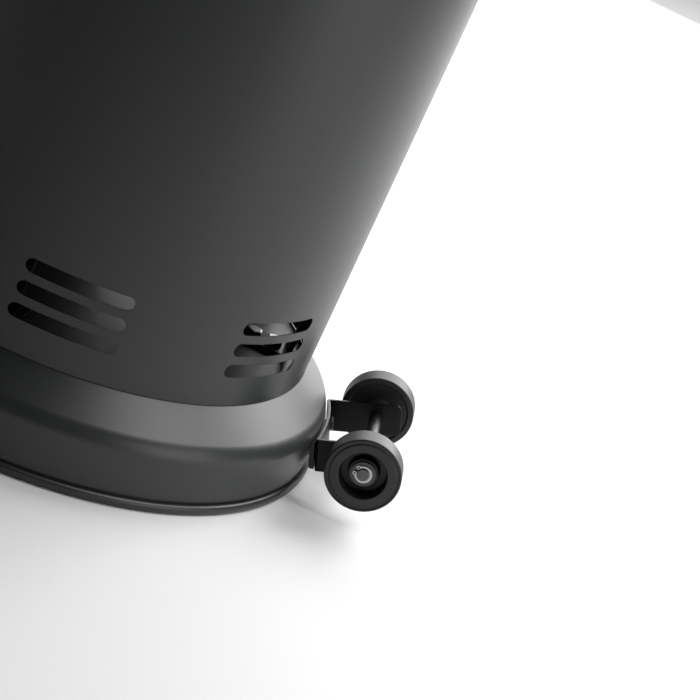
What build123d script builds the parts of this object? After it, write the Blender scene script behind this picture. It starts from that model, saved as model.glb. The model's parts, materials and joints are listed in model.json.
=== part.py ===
from build123d import *
import os
from math import cos, radians, sin, sqrt, tan

os.makedirs("parts", exist_ok=True)

# ---------------------------------------------------------------------------
# Driving dimensions, in millimetres and degrees.
# The heater stands upright on Z = 0, with its post on the Z axis, its control
# knob at the front (-Y) and its transport wheels at the back (+Y).
# ---------------------------------------------------------------------------

# base: a pressed cover seamed to a flat plate
base_wall_radius = 226.2
base_corner_height = 49.8      # where the wall and the sloping top would meet
base_slope = 38.5
base_shoulder_fillet = 18.0
base_sheet = 1.5
deck_height = 82.0
deck_fillet = 10.0
bead_radius = 4.0
bead_centre_radius = 226.4
bead_groove_radius = 0.9
base_plate_thickness = 2.0
ballast_outer_radius = 196.0
ballast_inner_radius = 70.0
ballast_height = 38.0
plate_screw_count = 4
plate_screw_circle = 130.0

# wheel bracket: a bent strap that leans against the base's shoulder
bracket_tilt = 20.5
bracket_sheet = 2.5
bracket_half_width = 45.5
bracket_reach = 286.0          # ear tip, measured along the tilted ear
bracket_low = -63.7            # ear's lower edge, square to the tilted ear
bracket_high = -37.1           # ear's upper edge
bracket_curve = 245.0
bracket_corner = 5.0
bracket_bend = 4.5
saddle_half_width = 41.0
saddle_height = 22.0
saddle_thickness = 4.0
saddle_margin = 0.5
saddle_fillet = 2.5
bracket_bolt_spacing = 50.0
bracket_seat_gap = 0.1

# axle and wheels
axle_radius = 5.0
axle_along = 265.3             # axle centre in the tilted frame
axle_square = -50.4
wheel_radius = 30.0
wheel_width = 20.3
wheel_track = 132.2
wheel_edge_fillet = 1.2
wheel_face_groove = (25.4, 28.4)  # shallow ring pressed into the outer face
wheel_groove_depth = 0.8
wheel_recess_radius = 19.0
wheel_recess_depth = 13.5
wheel_hub_radius = 11.5
wheel_hub_sink = 6.1           # hub face below the wheel's outer face
wheel_bore_clearance = 0.08
washer_radius = 10.0
washer_thickness = 1.9
circlip_thickness = 1.0
circlip_groove_radius = 4.8
circlip_groove_play = 0.1
circlip_band = 2.2
circlip_lug_radius = 1.75
circlip_hole_radius = 0.75
circlip_gap_angle = 24.0
side_play = 0.1

# housing round the gas cylinder
housing_radius = 195.7
housing_sheet = 0.8
housing_top = 790.0
housing_rest_gap = 0.25
seam_angle = 84.7
vent_groups = 7
vent_pitch_angle = 50.5
vent_length = 81.4
vent_height = 11.0
vent_pitch = 17.85
vent_centre_height = 122.7
notch_angle = 87.0
notch_width = 22.0
notch_height = 8.0
lug_width = 8.0
lug_depth = 5.0
lug_clearance = 1.5
lid_sheet = 1.0
lid_skirt = 20.0
lid_rise = 10.0
lid_collar_height = 12.0
lid_screw_count = 4
bush_clearance = 0.3
bush_wall = 5.5

# supports and post
post_radius = 30.15
post_wall = 1.5
post_bottom = 715.0
post_top = 1650.0
support_angles = {"rear": 90.0, "right": -10.0, "left": 190.0}
support_width = 30.0
support_strip = 4.0
support_radius = 180.0
support_foot = 46.0
support_knee_height = 665.0
support_tab_bottom = 722.0
support_tab_top = 785.0
foot_bolt_radii = (146.0, 164.0)
bolt_radius = 4.0
bolt_head_flats = 13.0
bolt_head_height = 5.3
foot_thread_depth = 18.0
spacer_radius = 8.0
tab_bolt_heights = (740.0, 765.0)
collar_wall = 5.0

# head: control can, burner and emitter
head_radius = 76.0
head_sheet = 1.2
head_flare_height = 1775.0
head_rim_radius = 108.0
head_rim_bottom = 1808.0
head_rim_top = 1822.0
flange_radius = 66.0
flange_thickness = 4.0
flange_spigot = 50.0
flange_bore = 24.0
head_screw_circle = 50.0
bezel_front = 79.0             # distance of the bezel's face in front of the axis
bezel_width = 58.0
bezel_height = 104.0
bezel_centre_height = 1716.0
knob_height = 1698.0
knob_radius = 22.0
knob_skirt = 6.0
knob_grip_depth = 15.0
knob_grip_width = 13.0
knob_back_gap = 5.5
stem_radius = 4.0
stem_flat = 1.2
stem_clearance = 0.06
valve_width = 40.0
valve_front = 52.0
valve_back = 12.0
valve_half_height = 23.0
valve_boss_radius = 12.0
valve_bore_end = 15.0
plunger_front = 30.0
plunger_length = 10.0
button_height = 1748.0
button_radius = 8.0
button_reach = 6.0
button_length = 25.0
igniter_radius = 11.0
igniter_flange_radius = 13.5
igniter_length = 44.0
mixer_radius = 12.5
mixer_wall = 1.5
pan_radius = 103.0
pan_floor = 1806.0
screen_radius = 107.0
screen_sheet = 1.0
screen_top = 2050.0
screen_columns = 30
screen_rows = 8
cap_flat_radius = 62.0
cap_rise = 20.0
cap_skirt = 12.0

# reflector
reflector_radius = 406.5
reflector_sphere = 915.0
reflector_top = 2245.0
reflector_sheet = 0.8
reflector_hole = 55.0
reflector_bead = 3.0
reflector_joint = 0.4
plate_radius_top = 80.0
stud_circle = 45.0
stud_radius = 4.0
stud_above = 17.0


# ---------------------------------------------------------------------------
# Shared geometry
# ---------------------------------------------------------------------------

def radial_plane(angle):
    """Upright plane through the Z axis: local x is the radius, local y is the height."""
    a = radians(angle)
    return Plane(origin=(0, 0, 0), x_dir=(cos(a), sin(a), 0), z_dir=(sin(a), -cos(a), 0))


def facing_plane(angle, radius, height):
    """Plane that faces away from the Z axis: local x is tangential, local y is up."""
    a = radians(angle)
    return Plane(origin=(radius * cos(a), radius * sin(a), height),
                 x_dir=(-sin(a), cos(a), 0), z_dir=(cos(a), sin(a), 0))


def level_plane(angle, radius, height):
    """Level plane at a point given by angle and radius: local z is up."""
    a = radians(angle)
    return Plane(origin=(radius * cos(a), radius * sin(a), height))


def pressed_sheet(points, radii, thickness):
    """Section of a bent sheet: a face along the points and a parallel face on its left."""
    steps = [Vector(*b) - Vector(*a) for a, b in zip(points, points[1:])]
    lefts = [Vector(-s.Y, s.X).normalized() for s in steps]
    first = Vector(*points[0]) + lefts[0] * thickness
    last = Vector(*points[-1]) + lefts[-1] * thickness
    corners = [Vector(*p) + (m + n) * (thickness / (1 + m.dot(n)))
               for p, m, n in zip(points[1:-1], lefts, lefts[1:])]
    turns = [m.X * n.Y - m.Y * n.X for m, n in zip(lefts, lefts[1:])]
    parallel = [r - thickness if t > 0 else r + thickness for r, t in zip(radii, turns)]
    with BuildSketch() as section:
        with BuildLine():
            face = FilletPolyline(*points, radius=list(radii))
            back = FilletPolyline(first, *corners, last, radius=parallel)
            Line(face @ 0, back @ 0)
            Line(face @ 1, back @ 1)
        make_face()
    return section.sketch


def hex_bolt(plane, radius, length, flats, head):
    """Hexagon bolt whose head sits on the plane and whose shank goes behind it."""
    with BuildPart() as bolt:
        with BuildSketch(plane):
            RegularPolygon(radius=flats / 2, side_count=6, major_radius=False)
        extrude(amount=head)
        chamfer(bolt.faces().sort_by(Axis(plane.origin, plane.z_dir))[-1].edges(), 0.08 * flats)
        with BuildSketch(plane):
            Circle(radius)
        extrude(amount=-length)
    return bolt.part


def tube(plane, outer, inner, length):
    """Tube that starts on the plane."""
    with BuildPart() as pipe:
        with BuildSketch(plane):
            Circle(outer)
            Circle(inner, mode=Mode.SUBTRACT)
        extrude(amount=length)
    return pipe.part


def cone_height(radius):
    """Height of the base's sloping top at a radius."""
    return base_corner_height + (base_wall_radius - radius) * tan(radians(base_slope))


# ---------------------------------------------------------------------------
# Worked-out places
# ---------------------------------------------------------------------------
deck_radius = base_wall_radius - (deck_height - base_corner_height) / tan(radians(base_slope))
cover_points = [(base_wall_radius, bead_radius), (base_wall_radius, base_corner_height),
                (deck_radius, deck_height), (0, deck_height)]
foot_bolt_planes = [level_plane(a, r, deck_height + support_strip)
                    for a in support_angles.values() for r in foot_bolt_radii]
ballast_top = base_plate_thickness + ballast_height

# tilted frame of the wheel bracket: local x is X, local y runs out along the ears
tilt = radians(bracket_tilt)
ear_along = Vector(0, cos(tilt), sin(tilt))
ear_square = Vector(0, -sin(tilt), cos(tilt))
bracket_plane = Plane(origin=ear_square * bracket_low, x_dir=(1, 0, 0), z_dir=ear_square)
bracket_height = bracket_high - bracket_low
shoulder_centre_radius = base_wall_radius - base_shoulder_fillet
shoulder_centre_height = (base_corner_height
                          - base_shoulder_fillet * tan(radians(90 - base_slope) / 2))
web_inner = (shoulder_centre_radius * cos(tilt) + shoulder_centre_height * sin(tilt)
             + base_shoulder_fillet + bracket_seat_gap)
web_centre = web_inner - bracket_curve
axle_centre = ear_along * axle_along + ear_square * axle_square
bolt_square = (bracket_low + bracket_high) / 2
web_outer_curve = bracket_curve + bracket_sheet


def web_bolt_plane(x):
    """Plane on the web's curved outer face at x, square to the face."""
    rise = sqrt(web_outer_curve ** 2 - x ** 2)
    place = Vector(x, 0, 0) + ear_square * bolt_square + ear_along * (web_centre + rise)
    return Plane(origin=place, x_dir=ear_square, z_dir=Vector(x, 0, 0) + ear_along * rise)


bracket_bolt_planes = [web_bolt_plane(x) for x in (-bracket_bolt_spacing / 2,
                                                   bracket_bolt_spacing / 2)]
bracket_bolt_radius = 3.0
bracket_bolt_length = 26.0
taper_washer_radius = 8.0
bracket_nut_height = 5.0

wheel_inner_face = (wheel_track - wheel_width) / 2
wheel_outer_face = (wheel_track + wheel_width) / 2
hub_outer_face = wheel_outer_face - wheel_hub_sink
washer_inner_face = hub_outer_face + side_play
clip_inner_face = washer_inner_face + washer_thickness
ear_inner_face = bracket_half_width - bracket_sheet
axle_half_length = clip_inner_face + circlip_thickness + 1.6

housing_bottom = cone_height(housing_radius - housing_sheet) + housing_rest_gap
collar_radius = post_radius + bush_clearance + bush_wall
lid_flat = housing_top + 4 * lid_sheet + lid_rise


# ---------------------------------------------------------------------------
# Base
# ---------------------------------------------------------------------------

# Cover: pressed steel with an upright wall, a rounded shoulder, a slope and a flat
# deck for the gas cylinder. Its rolled bead stands on the ground.
with BuildPart() as base_cover:
    with BuildSketch(Plane.XZ):
        add(pressed_sheet(cover_points, [base_shoulder_fillet, deck_fillet], base_sheet))
        with Locations((bead_centre_radius, bead_radius)):
            Circle(bead_radius)
        with Locations((base_wall_radius, 2 * bead_radius + bead_groove_radius)):
            Circle(bead_groove_radius, mode=Mode.SUBTRACT)
    revolve(axis=Axis.Z)
    for plane in foot_bolt_planes:
        with BuildSketch(plane):
            Circle(bolt_radius)
        extrude(amount=-4 * support_strip, mode=Mode.SUBTRACT)
    for plane in bracket_bolt_planes:
        with BuildSketch(plane):
            Circle(bracket_bolt_radius)
        extrude(amount=-bracket_bolt_length, mode=Mode.SUBTRACT)
base_cover.part.label = "base_cover"
export_step(base_cover.part, "parts/base_cover.step")

# Plate: flat disc that closes the cover from below, inside the bead.
bead_inset = sqrt(bead_radius ** 2 - (bead_radius - base_plate_thickness) ** 2)
plate_screw_profile = [(0, 0), (6, 0), (3, 3), (3, 16), (0, 16)]


def plate_screws_solid():
    """Countersunk screws that hold the ballast ring down on the plate."""
    with BuildPart() as screws:
        with BuildSketch(Plane.XZ):
            with BuildLine():
                Polyline(*plate_screw_profile, close=True)
            make_face()
        revolve(axis=Axis.Z)
    with BuildPart() as group:
        with PolarLocations(plate_screw_circle, plate_screw_count):
            add(screws.part)
    return group.part


with BuildPart() as base_plate:
    with BuildSketch(Plane.XY):
        Circle(bead_centre_radius - bead_inset)
    extrude(amount=base_plate_thickness)
    add(plate_screws_solid(), mode=Mode.SUBTRACT)
base_plate.part.label = "base_plate"
export_step(base_plate.part, "parts/base_plate.step")

# Ballast: cast ring that keeps the tall heater upright.
with BuildPart() as ballast_ring:
    with BuildSketch(Plane.XY.offset(base_plate_thickness)):
        Circle(ballast_outer_radius)
        Circle(ballast_inner_radius, mode=Mode.SUBTRACT)
    extrude(amount=ballast_height)
    chamfer(ballast_ring.faces().sort_by(Axis.Z)[-1].edges(), 3)
    for plane in foot_bolt_planes:
        with BuildSketch(Plane(origin=(plane.origin.X, plane.origin.Y, ballast_top))):
            Circle(bolt_radius)
        extrude(amount=-foot_thread_depth, mode=Mode.SUBTRACT)
    add(plate_screws_solid(), mode=Mode.SUBTRACT)
ballast_ring.part.label = "ballast_ring"
export_step(ballast_ring.part, "parts/ballast_ring.step")

with BuildPart() as plate_screws:
    add(plate_screws_solid())
plate_screws.part.label = "plate_screws"
export_step(plate_screws.part, "parts/plate_screws.step")

# Spacers: tubes that carry the deck on the ballast ring under each foot bolt.
spacer_length = deck_height - base_sheet - ballast_top
with BuildPart() as foot_spacers:
    for plane in foot_bolt_planes:
        add(tube(Plane(origin=(plane.origin.X, plane.origin.Y, ballast_top)),
                 spacer_radius, bolt_radius, spacer_length))
foot_spacers.part.label = "foot_spacers"
export_step(foot_spacers.part, "parts/foot_spacers.step")

# Locating lug: a small block on the slope, flush with the housing, whose notch drops
# over it.
lug_inner = housing_radius - lug_depth
lug_top = housing_bottom + notch_height - lug_clearance
with BuildPart() as locating_lug:
    with BuildSketch(radial_plane(notch_angle)):
        with BuildLine():
            Polyline((lug_inner, cone_height(lug_inner)),
                     (housing_radius, cone_height(housing_radius)),
                     (housing_radius, lug_top), (lug_inner, lug_top), close=True)
        make_face()
    extrude(amount=lug_width / 2, both=True)
    fillet(locating_lug.faces().sort_by(Axis.Z)[-1].edges(), 0.8)
locating_lug.part.label = "locating_lug"
export_step(locating_lug.part, "parts/locating_lug.step")


# ---------------------------------------------------------------------------
# Wheel bracket, axle and wheels
# ---------------------------------------------------------------------------

# Bracket: strap bent to a U, its web curved to the base and its ears leaning up.
with BuildPart() as wheel_bracket:
    with BuildSketch(bracket_plane):
        with BuildLine():
            start = (-bracket_half_width, bracket_reach)
            inner_l = (-ear_inner_face, web_centre + sqrt(web_outer_curve ** 2 - ear_inner_face ** 2))
            inner_r = (ear_inner_face, inner_l[1])
            root_y = web_centre + sqrt(bracket_curve ** 2 - bracket_half_width ** 2)
            Line(start, (-bracket_half_width, root_y))
            ThreePointArc((-bracket_half_width, root_y), (0, web_inner),
                          (bracket_half_width, root_y))
            Line((bracket_half_width, root_y), (bracket_half_width, bracket_reach))
            Line((bracket_half_width, bracket_reach), (ear_inner_face, bracket_reach))
            Line((ear_inner_face, bracket_reach), inner_r)
            ThreePointArc(inner_r, (0, web_inner + bracket_sheet), inner_l)
            Line(inner_l, (-ear_inner_face, bracket_reach))
            Line((-ear_inner_face, bracket_reach), start)
        make_face()
    extrude(amount=bracket_height)
    ear_axis = Axis(origin=(0, 0, 0), direction=tuple(ear_along))
    root_edges = wheel_bracket.edges().filter_by(Axis((0, 0, 0), tuple(ear_square)))
    fillet(root_edges.sort_by(ear_axis)[:2], bracket_bend)
    tip_edges = wheel_bracket.edges().filter_by(Axis.X).group_by(ear_axis)[-1]
    fillet(tip_edges, bracket_corner)
    for side in (-1, 1):
        with BuildSketch(Plane(origin=axle_centre + Vector(side * bracket_half_width, 0, 0),
                               x_dir=(0, 1, 0), z_dir=(side, 0, 0))):
            Circle(axle_radius)
        extrude(amount=-2 * bracket_sheet, mode=Mode.SUBTRACT)
    for plane in bracket_bolt_planes:
        with BuildSketch(plane):
            Circle(bracket_bolt_radius)
        extrude(amount=2 * bracket_sheet, both=True, mode=Mode.SUBTRACT)
wheel_bracket.part.label = "wheel_bracket"
export_step(wheel_bracket.part, "parts/wheel_bracket.step")


def base_outer_solid():
    """The base as a solid body, to shape what is seated against its wall."""
    with BuildPart() as body:
        with BuildSketch(Plane.XZ):
            with BuildLine():
                Line((0, 0), (base_wall_radius, 0))
                FilletPolyline((base_wall_radius, 0), *cover_points[1:],
                               radius=[base_shoulder_fillet, deck_fillet])
                Line((0, deck_height), (0, 0))
            make_face()
        revolve(axis=Axis.Z)
    return body.part


def base_inner_solid():
    """The space inside the cover's wall, to shape what is seated against it."""
    with BuildPart() as body:
        with BuildSketch(Plane.XY):
            Circle(base_wall_radius - base_sheet)
        extrude(amount=base_corner_height - base_shoulder_fillet)
    return body.part


# Saddle: curved packing plate behind the web, cut to the base where it touches it.
with BuildPart() as bracket_saddle:
    saddle_curve = bracket_curve - saddle_thickness
    saddle_front = web_centre + sqrt(bracket_curve ** 2 - saddle_half_width ** 2)
    saddle_back = web_centre + sqrt(saddle_curve ** 2 - saddle_half_width ** 2)
    with BuildSketch(bracket_plane.offset(saddle_margin)):
        with BuildLine():
            ThreePointArc((-saddle_half_width, saddle_front), (0, web_inner),
                          (saddle_half_width, saddle_front))
            Line((saddle_half_width, saddle_front), (saddle_half_width, saddle_back))
            ThreePointArc((saddle_half_width, saddle_back), (0, web_inner - saddle_thickness),
                          (-saddle_half_width, saddle_back))
            Line((-saddle_half_width, saddle_back), (-saddle_half_width, saddle_front))
        make_face()
    extrude(amount=saddle_height)
    square_axis = Axis(origin=(0, 0, 0), direction=tuple(ear_square))
    low_arcs = bracket_saddle.edges().filter_by(GeomType.CIRCLE).group_by(square_axis)[0]
    fillet(low_arcs.sort_by(ear_axis)[0], saddle_fillet)
    add(base_outer_solid(), mode=Mode.SUBTRACT)
    for plane in bracket_bolt_planes:
        with BuildSketch(plane):
            Circle(bracket_bolt_radius)
        extrude(amount=-bracket_bolt_length, mode=Mode.SUBTRACT)
bracket_saddle.part.label = "bracket_saddle"
export_step(bracket_saddle.part, "parts/bracket_saddle.step")

with BuildPart() as bracket_bolts:
    for plane in bracket_bolt_planes:
        add(hex_bolt(plane, bracket_bolt_radius, bracket_bolt_length, 10, 4))
bracket_bolts.part.label = "bracket_bolts"
export_step(bracket_bolts.part, "parts/bracket_bolts.step")

# Taper washers: their outer face follows the wall and their inner face is square
# to the bolt, so that the nut seats flat.
washer_back = 16.5
with BuildPart() as taper_washers:
    for plane in bracket_bolt_planes:
        add(tube(plane.offset(-washer_back), taper_washer_radius, bracket_bolt_radius, washer_back))
    add(base_inner_solid(), mode=Mode.INTERSECT)
taper_washers.part.label = "taper_washers"
export_step(taper_washers.part, "parts/taper_washers.step")

with BuildPart() as bracket_nuts:
    for plane in bracket_bolt_planes:
        with BuildSketch(plane.offset(-washer_back)):
            RegularPolygon(radius=5, side_count=6, major_radius=False)
            Circle(bracket_bolt_radius, mode=Mode.SUBTRACT)
        extrude(amount=-bracket_nut_height)
bracket_nuts.part.label = "bracket_nuts"
export_step(bracket_nuts.part, "parts/bracket_nuts.step")


def across_plane(x, side):
    """Upright plane square to the axle at x, facing outwards on the given side."""
    return Plane(origin=(x, axle_centre.Y, axle_centre.Z), x_dir=(0, side, 0),
                 z_dir=(side, 0, 0))


# Axle: steel rod with two grooves at each end for its retaining rings.
with BuildPart() as axle:
    with BuildSketch(across_plane(0, 1)):
        Circle(axle_radius)
    extrude(amount=axle_half_length, both=True)
    chamfer(axle.edges().group_by(Axis.X)[0] + axle.edges().group_by(Axis.X)[-1], 0.6)
    groove = circlip_thickness + circlip_groove_play
    for side in (-1, 1):
        for face in (clip_inner_face, ear_inner_face - groove):
            with BuildSketch(across_plane(side * face, side)):
                Circle(axle_radius + 1)
                Circle(circlip_groove_radius, mode=Mode.SUBTRACT)
            extrude(amount=groove, mode=Mode.SUBTRACT)
axle.part.label = "axle"
export_step(axle.part, "parts/axle.step")


def wheel_solid(side):
    """Moulded wheel with a deep dished outer face and a hub that runs to the ear."""
    bore = axle_radius + wheel_bore_clearance
    with BuildPart() as wheel:
        with BuildSketch(across_plane(side * wheel_inner_face, side)):
            Circle(wheel_radius)
        extrude(amount=wheel_width)
        fillet(wheel.edges().filter_by(GeomType.CIRCLE), wheel_edge_fillet)
        with BuildSketch(across_plane(side * wheel_outer_face, side)):
            Circle(wheel_recess_radius)
        extrude(amount=-wheel_recess_depth, mode=Mode.SUBTRACT)
        with BuildSketch(across_plane(side * wheel_outer_face, side)):
            Circle(wheel_face_groove[1])
            Circle(wheel_face_groove[0], mode=Mode.SUBTRACT)
        extrude(amount=-wheel_groove_depth, mode=Mode.SUBTRACT)
        with BuildSketch(across_plane(side * (bracket_half_width + side_play), side)):
            Circle(wheel_hub_radius)
        extrude(amount=hub_outer_face - bracket_half_width - side_play)
        with BuildSketch(across_plane(side * bracket_half_width, side)):
            Circle(bore)
        extrude(amount=2 * wheel_width, mode=Mode.SUBTRACT)
    return wheel.part


with BuildPart() as wheel_left:
    add(wheel_solid(-1))
wheel_left.part.label = "wheel_left"
export_step(wheel_left.part, "parts/wheel_left.step")

with BuildPart() as wheel_right:
    add(wheel_solid(1))
wheel_right.part.label = "wheel_right"
export_step(wheel_right.part, "parts/wheel_right.step")

with BuildPart() as wheel_washers:
    for side in (-1, 1):
        add(tube(across_plane(side * washer_inner_face, side), washer_radius, axle_radius,
                 washer_thickness))
wheel_washers.part.label = "wheel_washers"
export_step(wheel_washers.part, "parts/wheel_washers.step")


def retaining_ring(plane):
    """Spring-steel ring with two drilled lugs either side of its gap."""
    lug_place = circlip_groove_radius + circlip_band / 2 + 0.6
    with BuildPart() as ring:
        with BuildSketch(plane) as outline:
            with Locations((-0.3, 0)):
                Circle(circlip_groove_radius + circlip_band)
            with PolarLocations(lug_place, 2, start_angle=-circlip_gap_angle,
                                angular_range=4 * circlip_gap_angle):
                Circle(circlip_lug_radius)
            Circle(circlip_groove_radius, mode=Mode.SUBTRACT)
            with BuildLine():
                reach = 4 * axle_radius
                spread = reach * tan(radians(circlip_gap_angle / 2))
                Polyline((0, 0), (reach, spread), (reach, -spread), close=True)
            make_face(mode=Mode.SUBTRACT)
            with PolarLocations(lug_place, 2, start_angle=-circlip_gap_angle,
                                angular_range=4 * circlip_gap_angle):
                Circle(circlip_hole_radius, mode=Mode.SUBTRACT)
        extrude(amount=circlip_thickness)
    return ring.part


def ring_plane(x, side):
    """Plane of a retaining ring whose gap points to the front, a little upwards."""
    gap = radians(12)
    return Plane(origin=(x, axle_centre.Y, axle_centre.Z), x_dir=(0, -cos(gap), sin(gap)),
                 z_dir=(side, 0, 0))


with BuildPart() as wheel_circlips:
    for side in (-1, 1):
        add(retaining_ring(ring_plane(side * clip_inner_face, side)))
wheel_circlips.part.label = "wheel_circlips"
export_step(wheel_circlips.part, "parts/wheel_circlips.step")

with BuildPart() as axle_circlips:
    for side in (-1, 1):
        add(retaining_ring(ring_plane(side * (ear_inner_face - circlip_thickness), side)))
axle_circlips.part.label = "axle_circlips"
export_step(axle_circlips.part, "parts/axle_circlips.step")


# ---------------------------------------------------------------------------
# Supports and post
# ---------------------------------------------------------------------------
tab_face = post_radius + support_strip
support_points = [(support_radius - support_foot, deck_height), (support_radius, deck_height),
                  (support_radius, support_knee_height), (tab_face, support_tab_bottom),
                  (tab_face, support_tab_top)]
tab_bolt_planes = [facing_plane(a, tab_face, h)
                   for a in support_angles.values() for h in tab_bolt_heights]

# Supports: flat bars bolted to the deck, rising round the gas cylinder and turned in
# to the post above it.
for place, angle in support_angles.items():
    with BuildPart() as support:
        with BuildSketch(radial_plane(angle)):
            add(pressed_sheet(support_points, [8, 20, 12], support_strip))
        extrude(amount=support_width / 2, both=True)
        for radius in foot_bolt_radii:
            with BuildSketch(level_plane(angle, radius, deck_height)):
                Circle(bolt_radius)
            extrude(amount=2 * support_strip, mode=Mode.SUBTRACT)
        for height in tab_bolt_heights:
            with BuildSketch(facing_plane(angle, tab_face, height)):
                Circle(bolt_radius)
            extrude(amount=-2 * support_strip, mode=Mode.SUBTRACT)
    support.part.label = f"support_{place}"
    export_step(support.part, f"parts/support_{place}.step")

foot_bolt_length = deck_height + support_strip - ballast_top + foot_thread_depth
with BuildPart() as foot_bolts:
    for plane in foot_bolt_planes:
        add(hex_bolt(plane, bolt_radius, foot_bolt_length, bolt_head_flats, bolt_head_height))
foot_bolts.part.label = "foot_bolts"
export_step(foot_bolts.part, "parts/foot_bolts.step")

# Post: one steel tube from the supports to the head.
post_bore = post_radius - post_wall
with BuildPart() as post:
    add(tube(Plane.XY.offset(post_bottom), post_radius, post_bore, post_top - post_bottom))
    for plane in tab_bolt_planes:
        with BuildSketch(plane):
            Circle(bolt_radius)
        extrude(amount=-3 * support_strip, mode=Mode.SUBTRACT)
post.part.label = "post"
export_step(post.part, "parts/post.step")

# Collar: thick ring inside the post's foot, tapped for the tab bolts.
collar_bottom = post_bottom + 10
collar_height = 55.0
with BuildPart() as post_collar:
    add(tube(Plane.XY.offset(collar_bottom), post_bore, post_bore - collar_wall, collar_height))
    for plane in tab_bolt_planes:
        with BuildSketch(plane):
            Circle(bolt_radius)
        extrude(amount=-4 * support_strip, mode=Mode.SUBTRACT)
post_collar.part.label = "post_collar"
export_step(post_collar.part, "parts/post_collar.step")

tab_bolt_length = support_strip + post_wall + collar_wall
with BuildPart() as tab_bolts:
    for plane in tab_bolt_planes:
        add(hex_bolt(plane, bolt_radius, tab_bolt_length, bolt_head_flats, bolt_head_height))
tab_bolts.part.label = "tab_bolts"
export_step(tab_bolts.part, "parts/tab_bolts.step")


# ---------------------------------------------------------------------------
# Housing round the gas cylinder: it lifts off the base and slides up the post
# ---------------------------------------------------------------------------
lid_screw_angles = [45 + k * 360 / lid_screw_count for k in range(lid_screw_count)]
lid_screw_height = housing_top - lid_skirt / 2
lid_screw_planes = [facing_plane(a, housing_radius + lid_sheet, lid_screw_height)
                    for a in lid_screw_angles]
with BuildPart() as housing_shell:
    add(tube(Plane.XY.offset(housing_bottom), housing_radius, housing_radius - housing_sheet,
             housing_top - housing_bottom))
    for k in range(vent_groups):
        vent_angle = seam_angle + 180 + (k - (vent_groups - 1) / 2) * vent_pitch_angle
        with BuildSketch(facing_plane(vent_angle, housing_radius, vent_centre_height)):
            with GridLocations(vent_length, vent_pitch, 1, 3):
                SlotOverall(vent_length, vent_height)
        extrude(amount=10, both=True, mode=Mode.SUBTRACT)
    with BuildSketch(facing_plane(notch_angle, housing_radius, housing_bottom)):
        Rectangle(notch_width, 2 * notch_height)
    extrude(amount=3, both=True, mode=Mode.SUBTRACT)
    for plane in lid_screw_planes:
        with BuildSketch(plane):
            Circle(2)
        extrude(amount=-6, mode=Mode.SUBTRACT)
housing_shell.part.label = "housing_shell"
export_step(housing_shell.part, "parts/housing_shell.step")

# Lid: shallow pressed cone with a skirt over the shell and a collar round the post.
lid_outer = housing_radius + lid_sheet
with BuildPart() as housing_lid:
    with BuildSketch(Plane.XZ):
        add(pressed_sheet([(lid_outer, housing_top - lid_skirt),
                           (lid_outer, housing_top + 4 * lid_sheet),
                           (2 * collar_radius, lid_flat),
                           (collar_radius + lid_sheet, lid_flat),
                           (collar_radius + lid_sheet, lid_flat + lid_collar_height)],
                          [3, 20, 3], lid_sheet))
    revolve(axis=Axis.Z)
    for plane in lid_screw_planes:
        with BuildSketch(plane):
            Circle(2)
        extrude(amount=-6, mode=Mode.SUBTRACT)
housing_lid.part.label = "housing_lid"
export_step(housing_lid.part, "parts/housing_lid.step")

with BuildPart() as lid_screws:
    for plane in lid_screw_planes:
        with BuildSketch(plane):
            Circle(4)
        extrude(amount=2.4)
        with BuildSketch(plane):
            Circle(2)
        extrude(amount=-6)
lid_screws.part.label = "lid_screws"
export_step(lid_screws.part, "parts/lid_screws.step")

# Bush: plastic ring in the lid's collar that slides on the post.
bush_bore = post_radius + bush_clearance
bush_bottom = lid_flat - lid_sheet - 3
bush_top = lid_flat + lid_collar_height
with BuildPart() as lid_bush:
    with BuildSketch(Plane.XY.offset(bush_bottom)):
        Circle(collar_radius)
        Circle(bush_bore, mode=Mode.SUBTRACT)
    extrude(amount=bush_top - bush_bottom)
    with BuildSketch(Plane.XY.offset(bush_top)):
        Circle(collar_radius + 3)
        Circle(bush_bore, mode=Mode.SUBTRACT)
    extrude(amount=3)
    fillet(lid_bush.faces().sort_by(Axis.Z)[-1].edges().sort_by(SortBy.RADIUS)[-1], 1.5)
lid_bush.part.label = "lid_bush"
export_step(lid_bush.part, "parts/lid_bush.step")


# ---------------------------------------------------------------------------
# Head: flange, control can, gas valve and igniter
# ---------------------------------------------------------------------------
flange_top = post_top + flange_thickness
head_screw_planes = [level_plane(a, head_screw_circle, post_top) for a in (45, 135, 225, 315)]

# Flange: turned plug in the post's top end, with a disc that carries the head.
with BuildPart() as head_flange:
    with BuildSketch(Plane.XY.offset(post_top - flange_spigot)):
        Circle(post_bore)
        Circle(flange_bore, mode=Mode.SUBTRACT)
    extrude(amount=flange_spigot)
    with BuildSketch(Plane.XY.offset(post_top)):
        Circle(flange_radius)
        Circle(flange_bore, mode=Mode.SUBTRACT)
    extrude(amount=flange_thickness)
    for plane in head_screw_planes:
        with BuildSketch(plane):
            Circle(2.5)
        extrude(amount=flange_thickness, mode=Mode.SUBTRACT)
head_flange.part.label = "head_flange"
export_step(head_flange.part, "parts/head_flange.step")

with BuildPart() as head_screws:
    for plane in head_screw_planes:
        upward = Plane(origin=plane.origin, x_dir=(1, 0, 0), z_dir=(0, 0, -1))
        add(hex_bolt(upward, 2.5, flange_thickness + head_sheet + 3, 8, 3.5))
head_screws.part.label = "head_screws"
export_step(head_screws.part, "parts/head_screws.step")


def front_plane(height, distance):
    """Plane that faces the front (-Y) at a height, at a distance before the Z axis."""
    return Plane(origin=(0, -distance, height), x_dir=(1, 0, 0), z_dir=(0, -1, 0))


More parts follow.
